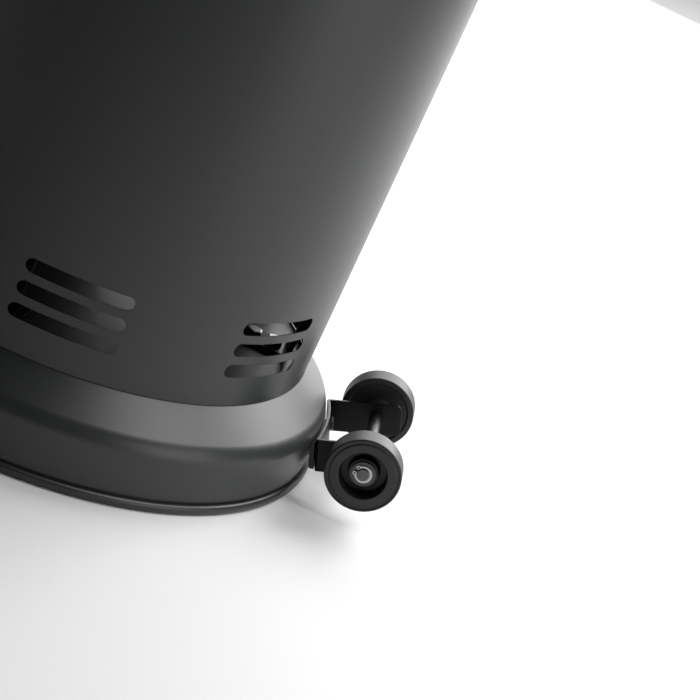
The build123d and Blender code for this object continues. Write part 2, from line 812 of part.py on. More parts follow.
# Can: pressed shell round the valve, flared at the top to hold the burner pan.
with BuildPart() as head_shell:
    with BuildSketch(Plane.XZ):
        add(pressed_sheet([(post_radius + 2, flange_top), (head_radius, flange_top),
                           (head_radius, head_flare_height), (head_rim_radius, head_rim_bottom),
                           (head_rim_radius, head_rim_top)], [6, 10, 6], head_sheet))
    revolve(axis=Axis.Z)
    with BuildSketch(front_plane(knob_height, head_radius + 2)):
        Circle(valve_boss_radius)
    extrude(amount=-12, mode=Mode.SUBTRACT)
    with BuildSketch(front_plane(button_height, head_radius + 2)):
        Circle(igniter_radius)
    extrude(amount=-12, mode=Mode.SUBTRACT)
    for plane in head_screw_planes:
        with BuildSketch(plane):
            Circle(2.5)
        extrude(amount=3 * flange_thickness, mode=Mode.SUBTRACT)
head_shell.part.label = "head_shell"
export_step(head_shell.part, "parts/head_shell.step")

# Bezel: flat-faced saddle plate behind the knob and the igniter button.
with BuildPart() as control_bezel:
    with BuildSketch(front_plane(bezel_centre_height, bezel_front)):
        SlotOverall(bezel_height, bezel_width, rotation=90)
    extrude(amount=-15)
    fillet(control_bezel.faces().sort_by(Axis.Y)[0].edges(), 1.5)
    with BuildSketch(Plane.XY.offset(flange_top)):
        Circle(head_radius)
    extrude(amount=head_flare_height - flange_top + 10, mode=Mode.SUBTRACT)
    with BuildSketch(front_plane(knob_height, bezel_front)):
        Circle(valve_boss_radius)
    extrude(amount=-15, mode=Mode.SUBTRACT)
    with BuildSketch(front_plane(button_height, bezel_front)):
        Circle(igniter_radius)
    extrude(amount=-15, mode=Mode.SUBTRACT)
control_bezel.part.label = "control_bezel"
export_step(control_bezel.part, "parts/control_bezel.step")

# Valve: cast block with a boss for the stem, on the burner's axis.
stem_bore = stem_radius + stem_clearance
with BuildPart() as valve_body:
    with BuildSketch(front_plane(knob_height, valve_front)):
        RectangleRounded(valve_width, 2 * valve_half_height, 4)
    extrude(amount=-(valve_front + valve_back))
    with BuildSketch(front_plane(knob_height, valve_front)):
        Circle(valve_boss_radius)
    extrude(amount=bezel_front - valve_front - 1)
    with BuildSketch(front_plane(knob_height, bezel_front)):
        Circle(stem_bore)
    extrude(amount=-(bezel_front - valve_bore_end), mode=Mode.SUBTRACT)
valve_body.part.label = "valve_body"
export_step(valve_body.part, "parts/valve_body.step")

# Bracket: angle that stands on the can's floor and holds the valve from behind.
can_floor = flange_top + head_sheet
with BuildPart() as valve_bracket:
    with BuildSketch(Plane.YZ):
        add(pressed_sheet([(valve_back, knob_height + 12), (valve_back, can_floor),
                           (valve_back + 34, can_floor)], [4], 2))
    extrude(amount=14, both=True)
valve_bracket.part.label = "valve_bracket"
export_step(valve_bracket.part, "parts/valve_bracket.step")

# Gas inlet: brass fitting under the valve, where the hose from the post ends.
valve_bottom = knob_height - valve_half_height
valve_top = knob_height + valve_half_height
with BuildPart() as gas_inlet:
    with BuildSketch(Plane.XY.offset(valve_bottom)):
        RegularPolygon(radius=8.5, side_count=6, major_radius=False)
    extrude(amount=-8)
    with BuildSketch(Plane.XY.offset(valve_bottom - 8)):
        Circle(6.5)
    extrude(amount=-14)
    with BuildSketch(Plane.XY.offset(valve_bottom)):
        Circle(3.5)
    extrude(amount=-22, mode=Mode.SUBTRACT)
gas_inlet.part.label = "gas_inlet"
export_step(gas_inlet.part, "parts/gas_inlet.step")

# Jet: brass nozzle that blows gas up the mixer.
with BuildPart() as gas_jet:
    with BuildSketch(Plane.XY.offset(valve_top)):
        RegularPolygon(radius=5.5, side_count=6, major_radius=False)
    extrude(amount=7)
    with BuildSketch(Plane.XY.offset(valve_top + 7)):
        Circle(4)
    extrude(amount=8)
    with BuildSketch(Plane.XY.offset(valve_top)):
        Circle(1)
    extrude(amount=15, mode=Mode.SUBTRACT)
gas_jet.part.label = "gas_jet"
export_step(gas_jet.part, "parts/gas_jet.step")

# Plunger: the valve's safety rod, which the knob pushes in.
with BuildPart() as valve_plunger:
    with BuildSketch(front_plane(knob_height, plunger_front)):
        Circle(stem_radius)
    extrude(amount=-plunger_length)
valve_plunger.part.label = "valve_plunger"
export_step(valve_plunger.part, "parts/valve_plunger.step")

# Stem: round rod with a flat where the knob grips it.
knob_back = bezel_front + knob_back_gap
stem_tip = knob_back + knob_skirt + knob_grip_depth - 5
flat_length = stem_tip - knob_back
with BuildPart() as valve_stem:
    with BuildSketch(front_plane(knob_height, plunger_front + 0.1)):
        Circle(stem_radius)
    extrude(amount=stem_tip - plunger_front - 0.1)
    with BuildSketch(front_plane(knob_height, stem_tip)):
        with Locations((0, stem_radius)):
            Rectangle(2 * stem_radius, 2 * stem_flat)
    extrude(amount=-flat_length, mode=Mode.SUBTRACT)
valve_stem.part.label = "valve_stem"
export_step(valve_stem.part, "parts/valve_stem.step")

# Knob: round skirt with a bar grip across it.
with BuildPart() as control_knob:
    with BuildSketch(front_plane(knob_height, knob_back)):
        Circle(knob_radius)
    extrude(amount=knob_skirt, taper=4)
    with BuildSketch(front_plane(knob_height, knob_back + knob_skirt)):
        SlotOverall(2 * knob_radius - 7, knob_grip_width, rotation=90)
    extrude(amount=knob_grip_depth, taper=3)
    fillet(control_knob.faces().sort_by(Axis.Y)[0].edges(), 2)
    with BuildSketch(front_plane(knob_height, knob_back)):
        Circle(stem_radius)
        with Locations((0, stem_radius)):
            Rectangle(2 * stem_radius, 2 * stem_flat, mode=Mode.SUBTRACT)
    extrude(amount=flat_length, mode=Mode.SUBTRACT)
control_knob.part.label = "control_knob"
export_step(control_knob.part, "parts/control_knob.step")

# Igniter: piezo tube with a sprung button in its front end.
button_bore = button_radius + stem_clearance
with BuildPart() as igniter_body:
    with BuildSketch(front_plane(button_height, bezel_front)):
        Circle(igniter_radius)
    extrude(amount=-igniter_length)
    with BuildSketch(front_plane(button_height, bezel_front)):
        Circle(igniter_flange_radius)
    extrude(amount=2)
    with BuildSketch(front_plane(button_height, bezel_front + 2)):
        Circle(button_bore)
    extrude(amount=-(button_length + 5), mode=Mode.SUBTRACT)
igniter_body.part.label = "igniter_body"
export_step(igniter_body.part, "parts/igniter_body.step")

with BuildPart() as igniter_button:
    with BuildSketch(front_plane(button_height, bezel_front + 2 + button_reach)):
        Circle(button_radius)
    extrude(amount=-button_length)
    fillet(igniter_button.faces().sort_by(Axis.Y)[0].edges(), 1.2)
igniter_button.part.label = "igniter_button"
export_step(igniter_button.part, "parts/igniter_button.step")

# Tilt switch: cuts the gas off if the heater falls over.
with BuildPart() as tilt_switch:
    with BuildSketch(Plane(origin=(44, 0, can_floor))):
        RectangleRounded(30, 20, 3)
    extrude(amount=26)
tilt_switch.part.label = "tilt_switch"
export_step(tilt_switch.part, "parts/tilt_switch.step")


# ---------------------------------------------------------------------------
# Burner and emitter
# ---------------------------------------------------------------------------
mixer_bottom = valve_top + 9
mixer_bore = mixer_radius - mixer_wall
with BuildPart() as mixer_tube:
    add(tube(Plane.XY.offset(mixer_bottom), mixer_radius, mixer_bore, pan_floor + 8 - mixer_bottom))
    with BuildSketch(Plane.XZ):
        with Locations((0, mixer_bottom + 14)):
            SlotOverall(14, 8, rotation=90)
    extrude(amount=2 * mixer_radius, both=True, mode=Mode.SUBTRACT)
mixer_tube.part.label = "mixer_tube"
export_step(mixer_tube.part, "parts/mixer_tube.step")

probe_places = {"pilot_burner": (72, -16, 4.0, 30), "thermocouple": (80, 0, 2.5, 44),
                "electrode": (72, 16, 2.0, 38)}

# Pan: pressed dish that closes the can and carries the emitter on its flange.
with BuildPart() as burner_pan:
    with BuildSketch(Plane.XZ):
        add(pressed_sheet([(mixer_radius, pan_floor), (pan_radius, pan_floor),
                           (pan_radius, head_rim_top), (head_rim_radius + 2, head_rim_top)],
                          [5, 2], head_sheet))
    revolve(axis=Axis.Z)
    for x, y, radius, rise in probe_places.values():
        with BuildSketch(Plane(origin=(x, y, pan_floor - 5))):
            Circle(radius)
        extrude(amount=20, mode=Mode.SUBTRACT)
burner_pan.part.label = "burner_pan"
export_step(burner_pan.part, "parts/burner_pan.step")

# Burner head: a dished cap on the mixer that spreads the flame.
burner_seat = pan_floor + 8
with BuildPart() as burner_head:
    with BuildSketch(Plane.XZ):
        add(pressed_sheet([(52, burner_seat - 2), (46, burner_seat + 10), (18, burner_seat + 16),
                           (0, burner_seat + 16)], [4, 6], 2))
    revolve(axis=Axis.Z)
    with BuildSketch(Plane.XY.offset(burner_seat)):
        Circle(mixer_radius)
        Circle(mixer_bore, mode=Mode.SUBTRACT)
    extrude(amount=14.5)
    with BuildSketch(Plane.XZ):
        with Locations((0, burner_seat + 6)):
            Rectangle(14, 8)
    extrude(amount=2 * mixer_radius, both=True, mode=Mode.SUBTRACT)
burner_head.part.label = "burner_head"
export_step(burner_head.part, "parts/burner_head.step")

# Flame probes: pilot tube, thermocouple and spark electrode through the pan.
for name, (x, y, radius, rise) in probe_places.items():
    with BuildPart() as probe:
        with BuildSketch(Plane(origin=(x, y, pan_floor - 14))):
            Circle(radius)
        extrude(amount=14 + rise)
        fillet(probe.faces().sort_by(Axis.Z)[-1].edges(), 0.4 * radius)
    probe.part.label = name
    export_step(probe.part, f"parts/{name}.step")

# Emitter: punched screen that glows round the flame.
screen_bottom = head_rim_top + head_sheet
row_pitch = (screen_top - screen_bottom) / (screen_rows + 1)
with BuildPart() as emitter_screen:
    add(tube(Plane.XY.offset(screen_bottom), screen_radius, screen_radius - screen_sheet,
             screen_top - screen_bottom))
    for k in range(screen_columns):
        middle = (screen_bottom + screen_top) / 2 + (k % 2 - 0.5) * row_pitch / 2
        with BuildSketch(facing_plane(k * 360 / screen_columns, screen_radius, middle)):
            with GridLocations(1, row_pitch, 1, screen_rows):
                SlotOverall(0.6 * row_pitch, 7, rotation=90)
        extrude(amount=4, both=True, mode=Mode.SUBTRACT)
emitter_screen.part.label = "emitter_screen"
export_step(emitter_screen.part, "parts/emitter_screen.step")

cap_top = screen_top + cap_rise
stud_planes = [level_plane(a, stud_circle, cap_top) for a in (30, 150, 270)]
with BuildPart() as emitter_cap:
    with BuildSketch(Plane.XZ):
        add(pressed_sheet([(screen_radius + head_sheet, screen_top - cap_skirt),
                           (screen_radius + head_sheet, screen_top + 3 * head_sheet),
                           (cap_flat_radius, cap_top), (0, cap_top)], [3, 8], head_sheet))
    revolve(axis=Axis.Z)
emitter_cap.part.label = "emitter_cap"
export_step(emitter_cap.part, "parts/emitter_cap.step")


# ---------------------------------------------------------------------------
# Reflector
# ---------------------------------------------------------------------------
sphere_centre = reflector_top - reflector_sphere


def dish_height(radius, depth):
    """Height of the dish at a radius, at a depth below its upper face."""
    return sphere_centre + sqrt((reflector_sphere - depth) ** 2 - radius ** 2)


plate_seat = dish_height(reflector_hole, 0)
reflector_plate_sheet = 2.0
plate_top = plate_seat + reflector_plate_sheet
screw_radius_place = (reflector_hole + plate_radius_top) / 2
dish_screw_planes = [level_plane(a, screw_radius_place, plate_top)
                     for k in range(4) for a in (k * 90 + 25, k * 90 + 65)]

# Panels: four quarters of a shallow dish, with a rolled rim.
for k in range(4):
    joint_angle = reflector_joint / reflector_radius * 57.3
    rim_height = dish_height(reflector_radius - reflector_bead, reflector_sheet / 2)
    middle_radius = (reflector_radius + reflector_hole) / 2
    edge_radius = reflector_radius - reflector_bead
    with BuildPart() as reflector_panel:
        with BuildSketch(radial_plane(k * 90 + joint_angle / 2)):
            with BuildLine():
                upper = ThreePointArc((reflector_hole, dish_height(reflector_hole, 0)),
                                      (middle_radius, dish_height(middle_radius, 0)),
                                      (edge_radius, dish_height(edge_radius, 0)))
                lower = ThreePointArc((reflector_hole, dish_height(reflector_hole, reflector_sheet)),
                                      (middle_radius, dish_height(middle_radius, reflector_sheet)),
                                      (edge_radius, dish_height(edge_radius, reflector_sheet)))
                Line(upper @ 0, lower @ 0)
                Line(upper @ 1, lower @ 1)
            make_face()
            with Locations((edge_radius, rim_height)):
                Circle(reflector_bead)
        revolve(axis=Axis.Z, revolution_arc=90 - joint_angle)
        for plane in dish_screw_planes:
            with BuildSketch(plane):
                Circle(2.5)
            extrude(amount=-12, mode=Mode.SUBTRACT)
    reflector_panel.part.label = f"reflector_panel_{k + 1}"
    export_step(reflector_panel.part, f"parts/reflector_panel_{k + 1}.step")

with BuildPart() as reflector_plate:
    with BuildSketch(Plane.XY.offset(plate_seat)):
        Circle(plate_radius_top)
    extrude(amount=reflector_plate_sheet)
    for plane in dish_screw_planes:
        with BuildSketch(plane):
            Circle(2.5)
        extrude(amount=-12, mode=Mode.SUBTRACT)
    for plane in stud_planes:
        with BuildSketch(plane):
            Circle(stud_radius)
        extrude(amount=plate_top - cap_top + 5, mode=Mode.SUBTRACT)
reflector_plate.part.label = "reflector_plate"
export_step(reflector_plate.part, "parts/reflector_plate.step")

with BuildPart() as reflector_screws:
    for plane in dish_screw_planes:
        add(hex_bolt(plane, 2.5, 10, 8, 3))
reflector_screws.part.label = "reflector_screws"
export_step(reflector_screws.part, "parts/reflector_screws.step")

# Studs: rods that stand on the emitter's cap; shoulder tubes on them set the height.
with BuildPart() as reflector_studs:
    for plane in stud_planes:
        with BuildSketch(plane):
            Circle(stud_radius + 2)
        extrude(amount=plate_seat - cap_top)
        with BuildSketch(plane):
            Circle(stud_radius)
        extrude(amount=plate_top + stud_above - cap_top)
reflector_studs.part.label = "reflector_studs"
export_step(reflector_studs.part, "parts/reflector_studs.step")

with BuildPart() as wing_nuts:
    for plane in stud_planes:
        seat = Plane(origin=(plane.origin.X, plane.origin.Y, plate_top))
        with BuildSketch(seat):
            Circle(stud_radius + 4)
            Circle(stud_radius, mode=Mode.SUBTRACT)
        extrude(amount=8, taper=6)
        wing_view = Plane(origin=seat.origin, x_dir=(1, 0, 0), z_dir=(0, -1, 0))
        with BuildSketch(wing_view):
            for side in (-1, 1):
                with BuildLine():
                    Polyline((side * 6, 1), (side * 16, 8), (side * 16, 15), (side * 11, 15),
                             (side * 6, 6), close=True)
                make_face()
        extrude(amount=1.5, both=True)
wing_nuts.part.label = "wing_nuts"
export_step(wing_nuts.part, "parts/wing_nuts.step")
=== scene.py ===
# %% [markdown]
# # A patio heater, one cell at a time
# The heater is a gas burner on a tall post. Its heavy round base carries a tall sheet-metal
# housing, two small wheels sit behind the base on a bent bracket, and a dish on top throws
# the heat down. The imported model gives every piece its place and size. This lesson gives
# the pieces their surfaces: first some measures, then helpers, finishes, pieces and light.

# %% Load the frame
import json
from math import cos, pi, radians, sin, sqrt, tan

import bmesh
import bpy
from mathutils import Matrix, Vector

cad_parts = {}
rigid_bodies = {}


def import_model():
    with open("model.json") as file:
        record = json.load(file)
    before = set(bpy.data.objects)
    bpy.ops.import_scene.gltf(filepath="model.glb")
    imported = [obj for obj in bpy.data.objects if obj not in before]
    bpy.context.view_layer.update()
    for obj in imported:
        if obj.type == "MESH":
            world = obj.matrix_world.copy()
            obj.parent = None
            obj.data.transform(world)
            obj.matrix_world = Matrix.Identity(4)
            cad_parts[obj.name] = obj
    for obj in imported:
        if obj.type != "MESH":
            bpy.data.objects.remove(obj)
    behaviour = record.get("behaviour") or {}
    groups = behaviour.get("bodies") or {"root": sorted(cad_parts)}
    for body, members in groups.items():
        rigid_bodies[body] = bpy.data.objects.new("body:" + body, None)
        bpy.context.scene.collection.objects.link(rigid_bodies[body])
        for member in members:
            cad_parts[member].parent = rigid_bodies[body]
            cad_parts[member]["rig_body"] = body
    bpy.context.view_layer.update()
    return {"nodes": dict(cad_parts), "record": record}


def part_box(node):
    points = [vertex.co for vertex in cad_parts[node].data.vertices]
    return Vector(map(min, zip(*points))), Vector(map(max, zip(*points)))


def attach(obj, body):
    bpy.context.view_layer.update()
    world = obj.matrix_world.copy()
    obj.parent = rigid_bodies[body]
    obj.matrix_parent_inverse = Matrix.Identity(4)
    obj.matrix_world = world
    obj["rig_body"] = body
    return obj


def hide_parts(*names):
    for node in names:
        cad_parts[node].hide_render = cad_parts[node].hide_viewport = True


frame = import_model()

MM = 0.001
nodes = frame["nodes"]
slot_of = {s["node"]: s["material_slot"] for s in frame["record"]["subparts"]}

# %% [markdown]
# ## Measures
# Every piece takes its place from the frame's boxes, so the looks follow the design when
# a size changes. A few sizes that a box cannot tell, such as the slope of the base's top
# or a bend's radius, are named here in metres and degrees.

# %% Measure the base and the housing
base_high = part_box("base_cover")[1]
shell_low, shell_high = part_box("housing_shell")
lid_low, lid_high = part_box("housing_lid")
bush_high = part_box("lid_bush")[1]

bead_outer = base_high.x
bead_height = 8 * MM
bead_top_round = 3.2 * MM
bead_foot_round = 3.9 * MM
bead_inner_round = 3.6 * MM
seam_depth = 1.0 * MM
seam_height = 1.8 * MM
wall_radius = bead_outer - 4.2 * MM
wall_sheet = 1.5 * MM
slope = radians(38.5)
corner_height = 49.8 * MM
shoulder_round = 18 * MM
deck_height = base_high.z
deck_round = 10 * MM
deck_radius = wall_radius - (deck_height - corner_height) / tan(slope)

shell_radius = shell_high.x
shell_sheet = 0.8 * MM
vent_front = 84.7 + 180
vent_turn = 50.5
vent_middle = 122.7
vent_pitch = 17.85
vent_angles = [vent_front + (k - 3) * vent_turn for k in range(7)]
vent_heights = [(vent_middle + k * vent_pitch) * MM for k in (-1, 0, 1)]
vent_length = 81.4 * MM
vent_height = 11 * MM
notch_angle = 87.0
notch_width = 22 * MM
notch_height = 8 * MM
print("base radius", round(bead_outer, 4), "housing radius", round(shell_radius, 4))

# %% Measure the wheels and their bracket
wheel_low, wheel_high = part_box("wheel_right")
axle_low, axle_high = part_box("axle")
washer_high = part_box("wheel_washers")[1]
bracket_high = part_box("wheel_bracket")[1]

axle_centre = (axle_low + axle_high) / 2
axle_radius = (axle_high.z - axle_low.z) / 2
wheel_radius = (wheel_high.z - wheel_low.z) / 2
wheel_width = 20.3 * MM
hub_radius = 11.5 * MM
hub_sink = 6.1 * MM
recess_radius = 19 * MM
recess_depth = 13.5 * MM
tread_round = 1.2 * MM
face_groove = (25.4 * MM, 28.4 * MM)
groove_depth = 0.8 * MM
bore_gap = 0.08 * MM
back_sink = 2 * MM
washer_radius = 10 * MM
washer_thick = 1.9 * MM
washer_gap = 0.1 * MM

bracket_half = bracket_high.x
strap = 2.5 * MM
ear_tilt = radians(20.5)
ear_along = Vector((0, cos(ear_tilt), sin(ear_tilt)))
ear_square = Vector((0, -sin(ear_tilt), cos(ear_tilt)))
strap_low = -63.7 * MM
strap_high = -37.1 * MM
ear_reach = 286 * MM
web_curve = 245 * MM
web_inner = 227.5 * MM
strap_bend = 4.5 * MM
ear_corner = 5 * MM
print("wheel radius", round(wheel_radius, 4), "axle at", [round(c, 4) for c in axle_centre])

# %% [markdown]
# ## Helpers for turned and pressed pieces
# Most of a heater is turned or pressed round one axis. Such a piece could be a cylinder
# with its ends pushed about, but a lathe is closer to how it is made: draw half its
# section once, round the corners that a press or a tool would round, and spin it. The
# section is a closed loop, so the spun sheet has a real thickness and a closed skin.

# %% Draw a section with rounded corners
def tangent_length(before, corner, after, radius):
    """How far from a corner a round of this radius begins."""
    turn = (Vector(corner) - Vector(before)).angle(Vector(after) - Vector(corner))
    return radius * tan(turn / 2)


def rounded_section(bm, corners, segments):
    """One face in the XZ plane from (radius, height, round) corners."""
    verts = [bm.verts.new((r, 0, z)) for r, z, _ in corners]
    bm.faces.new(verts)
    spots = [(r, z) for r, z, _ in corners]
    for i, vert in enumerate(verts):
        if corners[i][2]:
            reach = tangent_length(spots[i - 1], spots[i], spots[(i + 1) % len(spots)],
                                   corners[i][2])
            bmesh.ops.bevel(bm, geom=[vert], offset=reach, offset_type="OFFSET",
                            segments=segments, profile=0.5, affect="VERTICES",
                            material=-1, clamp_overlap=False)


# %% Spin the section into a closed piece
def lathe(corners, steps=192, segments=6):
    """A closed piece of revolution round Z."""
    bm = bmesh.new()
    rounded_section(bm, corners, segments)
    bmesh.ops.delete(bm, geom=bm.faces[:], context="FACES_ONLY")
    bmesh.ops.spin(bm, geom=bm.verts[:] + bm.edges[:], cent=(0, 0, 0), axis=(0, 0, 1),
                   angle=2 * pi, steps=steps, use_merge=True)
    bmesh.ops.remove_doubles(bm, verts=bm.verts, dist=1e-6)
    bmesh.ops.recalc_face_normals(bm, faces=bm.faces)
    return bm


# %% [markdown]
# A finished mesh is smooth where its surface bends gently and sharp where it turns a
# corner. The Weighted Normal modifier lets the large flat faces decide the shading next
# to a small round, as they do on real sheet metal, where the flats stay dead flat.

# %% Turn a bmesh into a finished piece
def finish_piece(bm, name, body, material, stands_for=(), sharp=32):
    """Links the mesh as an object that rides on a body."""
    mesh = bpy.data.meshes.new(name)
    bm.to_mesh(mesh)
    bm.free()
    mesh.shade_smooth()
    mesh.set_sharp_from_angle(angle=radians(sharp))
    mesh.materials.append(material)
    piece = bpy.data.objects.new(name, mesh)
    bpy.context.scene.collection.objects.link(piece)
    even = piece.modifiers.new("even shading", "WEIGHTED_NORMAL")
    even.keep_sharp = True
    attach(piece, body)
    if stands_for:
        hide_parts(*stands_for)
    print("made", name, "with", len(mesh.polygons), "faces")
    return piece


# %% [markdown]
# Small fittings already have the right shape in the design. A copy of each one has its
# loose triangles merged and its flat faces joined up. Then a narrow bevel breaks its
# edges, because an edge with no width never catches the light.

# %% Dress a copy of a designed piece
def dressed_copy(node, material, edge=0.3 * MM, sharp=30):
    """A merged, softly edged copy that stands for the CAD node."""
    source = nodes[node]
    bm = bmesh.new()
    bm.from_mesh(source.data)
    bmesh.ops.remove_doubles(bm, verts=bm.verts, dist=2e-6)
    bmesh.ops.dissolve_limit(bm, angle_limit=radians(0.5), verts=bm.verts, edges=bm.edges)
    piece = finish_piece(bm, node + "_finished", source["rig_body"], material,
                         [node], sharp)
    if edge:
        soft = piece.modifiers.new("soft edges", "BEVEL")
        soft.width = edge
        soft.segments = 2
        soft.limit_method = "ANGLE"
        soft.angle_limit = radians(40)
        piece.modifiers.move(1, 0)
    return piece


# %% [markdown]
# ## Effects that finishes share
# A coated, cast or rolled surface is never one flat tone. Each effect is a node group,
# built once and placed in many materials with its own numbers. A group puts out only
# masks and heights. The shader itself stays in the material.

# %% A maker for node groups
def new_group(name, inputs, outputs):
    group = bpy.data.node_groups.new(name, "ShaderNodeTree")
    for label, kind, value in inputs:
        socket = group.interface.new_socket(label, in_out="INPUT", socket_type=kind)
        if value is not None:
            socket.default_value = value
    for label in outputs:
        group.interface.new_socket(label, in_out="OUTPUT", socket_type="NodeSocketFloat")
    return group, group.nodes.new("NodeGroupInput"), group.nodes.new("NodeGroupOutput")


def math_node(tree, operation, first, second, clamp=False):
    """A Math node whose inputs are sockets or numbers."""
    node = tree.nodes.new("ShaderNodeMath")
    node.operation = operation
    node.use_clamp = clamp
    for socket, value in zip(node.inputs, (first, second)):
        if isinstance(value, (int, float)):
            socket.default_value = value
        else:
            tree.links.new(value, socket)
    return node.outputs[0]


def noise_node(tree, vector, scale, detail, roughness=0.5):
    """A Noise Texture read at a vector; scale is a socket or a number."""
    node = tree.nodes.new("ShaderNodeTexNoise")
    node.inputs["Detail"].default_value = detail
    node.inputs["Roughness"].default_value = roughness
    tree.links.new(vector, node.inputs["Vector"])
    if isinstance(scale, (int, float)):
        node.inputs["Scale"].default_value = scale
    else:
        tree.links.new(scale, node.inputs["Scale"])
    return node.outputs["Fac"]


def spread(tree, value, low, high):
    """Stretches a value so that low becomes 0 and high becomes 1."""
    node = tree.nodes.new("ShaderNodeMapRange")
    node.inputs["From Min"].default_value = low
    node.inputs["From Max"].default_value = high
    tree.links.new(value, node.inputs["Value"])
    return node.outputs["Result"]


# %% Grain: the fine skin of a coating or a moulding
grain, grain_in, grain_out = new_group(
    "grain", [("Vector", "NodeSocketVector", None), ("Scale", "NodeSocketFloat", 900.0)],
    ["Height", "Tone", "Cloud"])
fine = noise_node(grain, grain_in.outputs["Vector"], grain_in.outputs["Scale"], 2.0)
speckle = noise_node(grain, grain_in.outputs["Vector"],
                     math_node(grain, "MULTIPLY", grain_in.outputs["Scale"], 2.7), 1.0)
cloud = noise_node(grain, grain_in.outputs["Vector"], 7.0, 4.0, 0.6)
grain.links.new(fine, grain_out.inputs["Height"])
grain.links.new(spread(grain, speckle, 0.3, 0.7), grain_out.inputs["Tone"])
grain.links.new(spread(grain, cloud, 0.32, 0.68), grain_out.inputs["Cloud"])
print("group", grain.name)

# %% Brushing: long fine lines left by rolling or polishing
brush, brush_in, brush_out = new_group(
    "brushing", [("Vector", "NodeSocketVector", None), ("Scale", "NodeSocketFloat", 400.0)],
    ["Height", "Tone"])
lines = noise_node(brush, brush_in.outputs["Vector"], brush_in.outputs["Scale"], 3.0, 0.6)
brush.links.new(lines, brush_out.inputs["Height"])
brush.links.new(spread(brush, lines, 0.3, 0.7), brush_out.inputs["Tone"])
print("group", brush.name)

# %% Dust: what settles on faces that look up
dust, dust_in, dust_out = new_group(
    "dust", [("Vector", "NodeSocketVector", None), ("Amount", "NodeSocketFloat", 0.1)], ["Mask"])
facing = dust.nodes.new("ShaderNodeNewGeometry")
parts_of_normal = dust.nodes.new("ShaderNodeSeparateXYZ")
dust.links.new(facing.outputs["Normal"], parts_of_normal.inputs[0])
upward = spread(dust, parts_of_normal.outputs["Z"], 0.35, 1.0)
patches = spread(dust, noise_node(dust, dust_in.outputs["Vector"], 38.0, 6.0, 0.65), 0.42, 0.75)
settled = math_node(dust, "MULTIPLY", upward, patches)
dust.links.new(math_node(dust, "MULTIPLY", settled, dust_in.outputs["Amount"], True),
               dust_out.inputs["Mask"])
print("group", dust.name)

# %% Edge wear and painted highlight: sharp corners painted lighter, partly where handling rubs them and partly as a painted highlight along the edge
edge_wear_and_highlight, edge_wear_and_highlight_in, edge_wear_and_highlight_out = new_group(
    "edge wear and painted highlight", [("Vector", "NodeSocketVector", None), ("Amount", "NodeSocketFloat", 0.2)],
    ["Mask"])
corner = edge_wear_and_highlight.nodes.new("ShaderNodeNewGeometry")
proud = spread(edge_wear_and_highlight, corner.outputs["Pointiness"], 0.53, 0.62)
rubbed_and_lit_patches = spread(edge_wear_and_highlight, noise_node(edge_wear_and_highlight, edge_wear_and_highlight_in.outputs["Vector"], 160.0, 4.0, 0.6), 0.4, 0.6)
worn_and_highlit = math_node(edge_wear_and_highlight, "MULTIPLY", proud, rubbed_and_lit_patches)
edge_wear_and_highlight.links.new(math_node(edge_wear_and_highlight, "MULTIPLY", worn_and_highlit, edge_wear_and_highlight_in.outputs["Amount"], True),
               edge_wear_and_highlight_out.inputs["Mask"])
print("group", edge_wear_and_highlight.name)


# %% [markdown]
# ## Finishes
# A finish is a Principled shader fed by these groups. The recipe is the same for paint,
# plastic and metal. Two tones are mixed by the fine grain, a slow cloud shifts them over a
# hand's width and dust dulls the top. The corners are painted lighter, partly as wear and
# partly as a painted highlight on the edges. The same grain moves the roughness a little and
# lifts a Bump, so that the sheen breaks up as it does on the metal.

# %% Mix colours and place groups
def mix_colour(tree, factor, first, second):
    """A colour mix; first and second are sockets or RGB triples."""
    node = tree.nodes.new("ShaderNodeMix")
    node.data_type = "RGBA"
    tree.links.new(factor, node.inputs["Factor"])
    for socket, value in ((node.inputs["A"], first), (node.inputs["B"], second)):
        colour_socket = [s for s in node.inputs if s.name == socket.name and s.type == "RGBA"][0]
        if isinstance(value, tuple):
            colour_socket.default_value = (*value, 1)
        else:
            tree.links.new(value, colour_socket)
    return [s for s in node.outputs if s.type == "RGBA"][0]


def place_group(tree, group, vector, **values):
    """A copy of a node group in a material, with its own values."""
    node = tree.nodes.new("ShaderNodeGroup")
    node.node_tree = group
    tree.links.new(vector, node.inputs["Vector"])
    for label, value in values.items():
        node.inputs[label].default_value = value
    return node


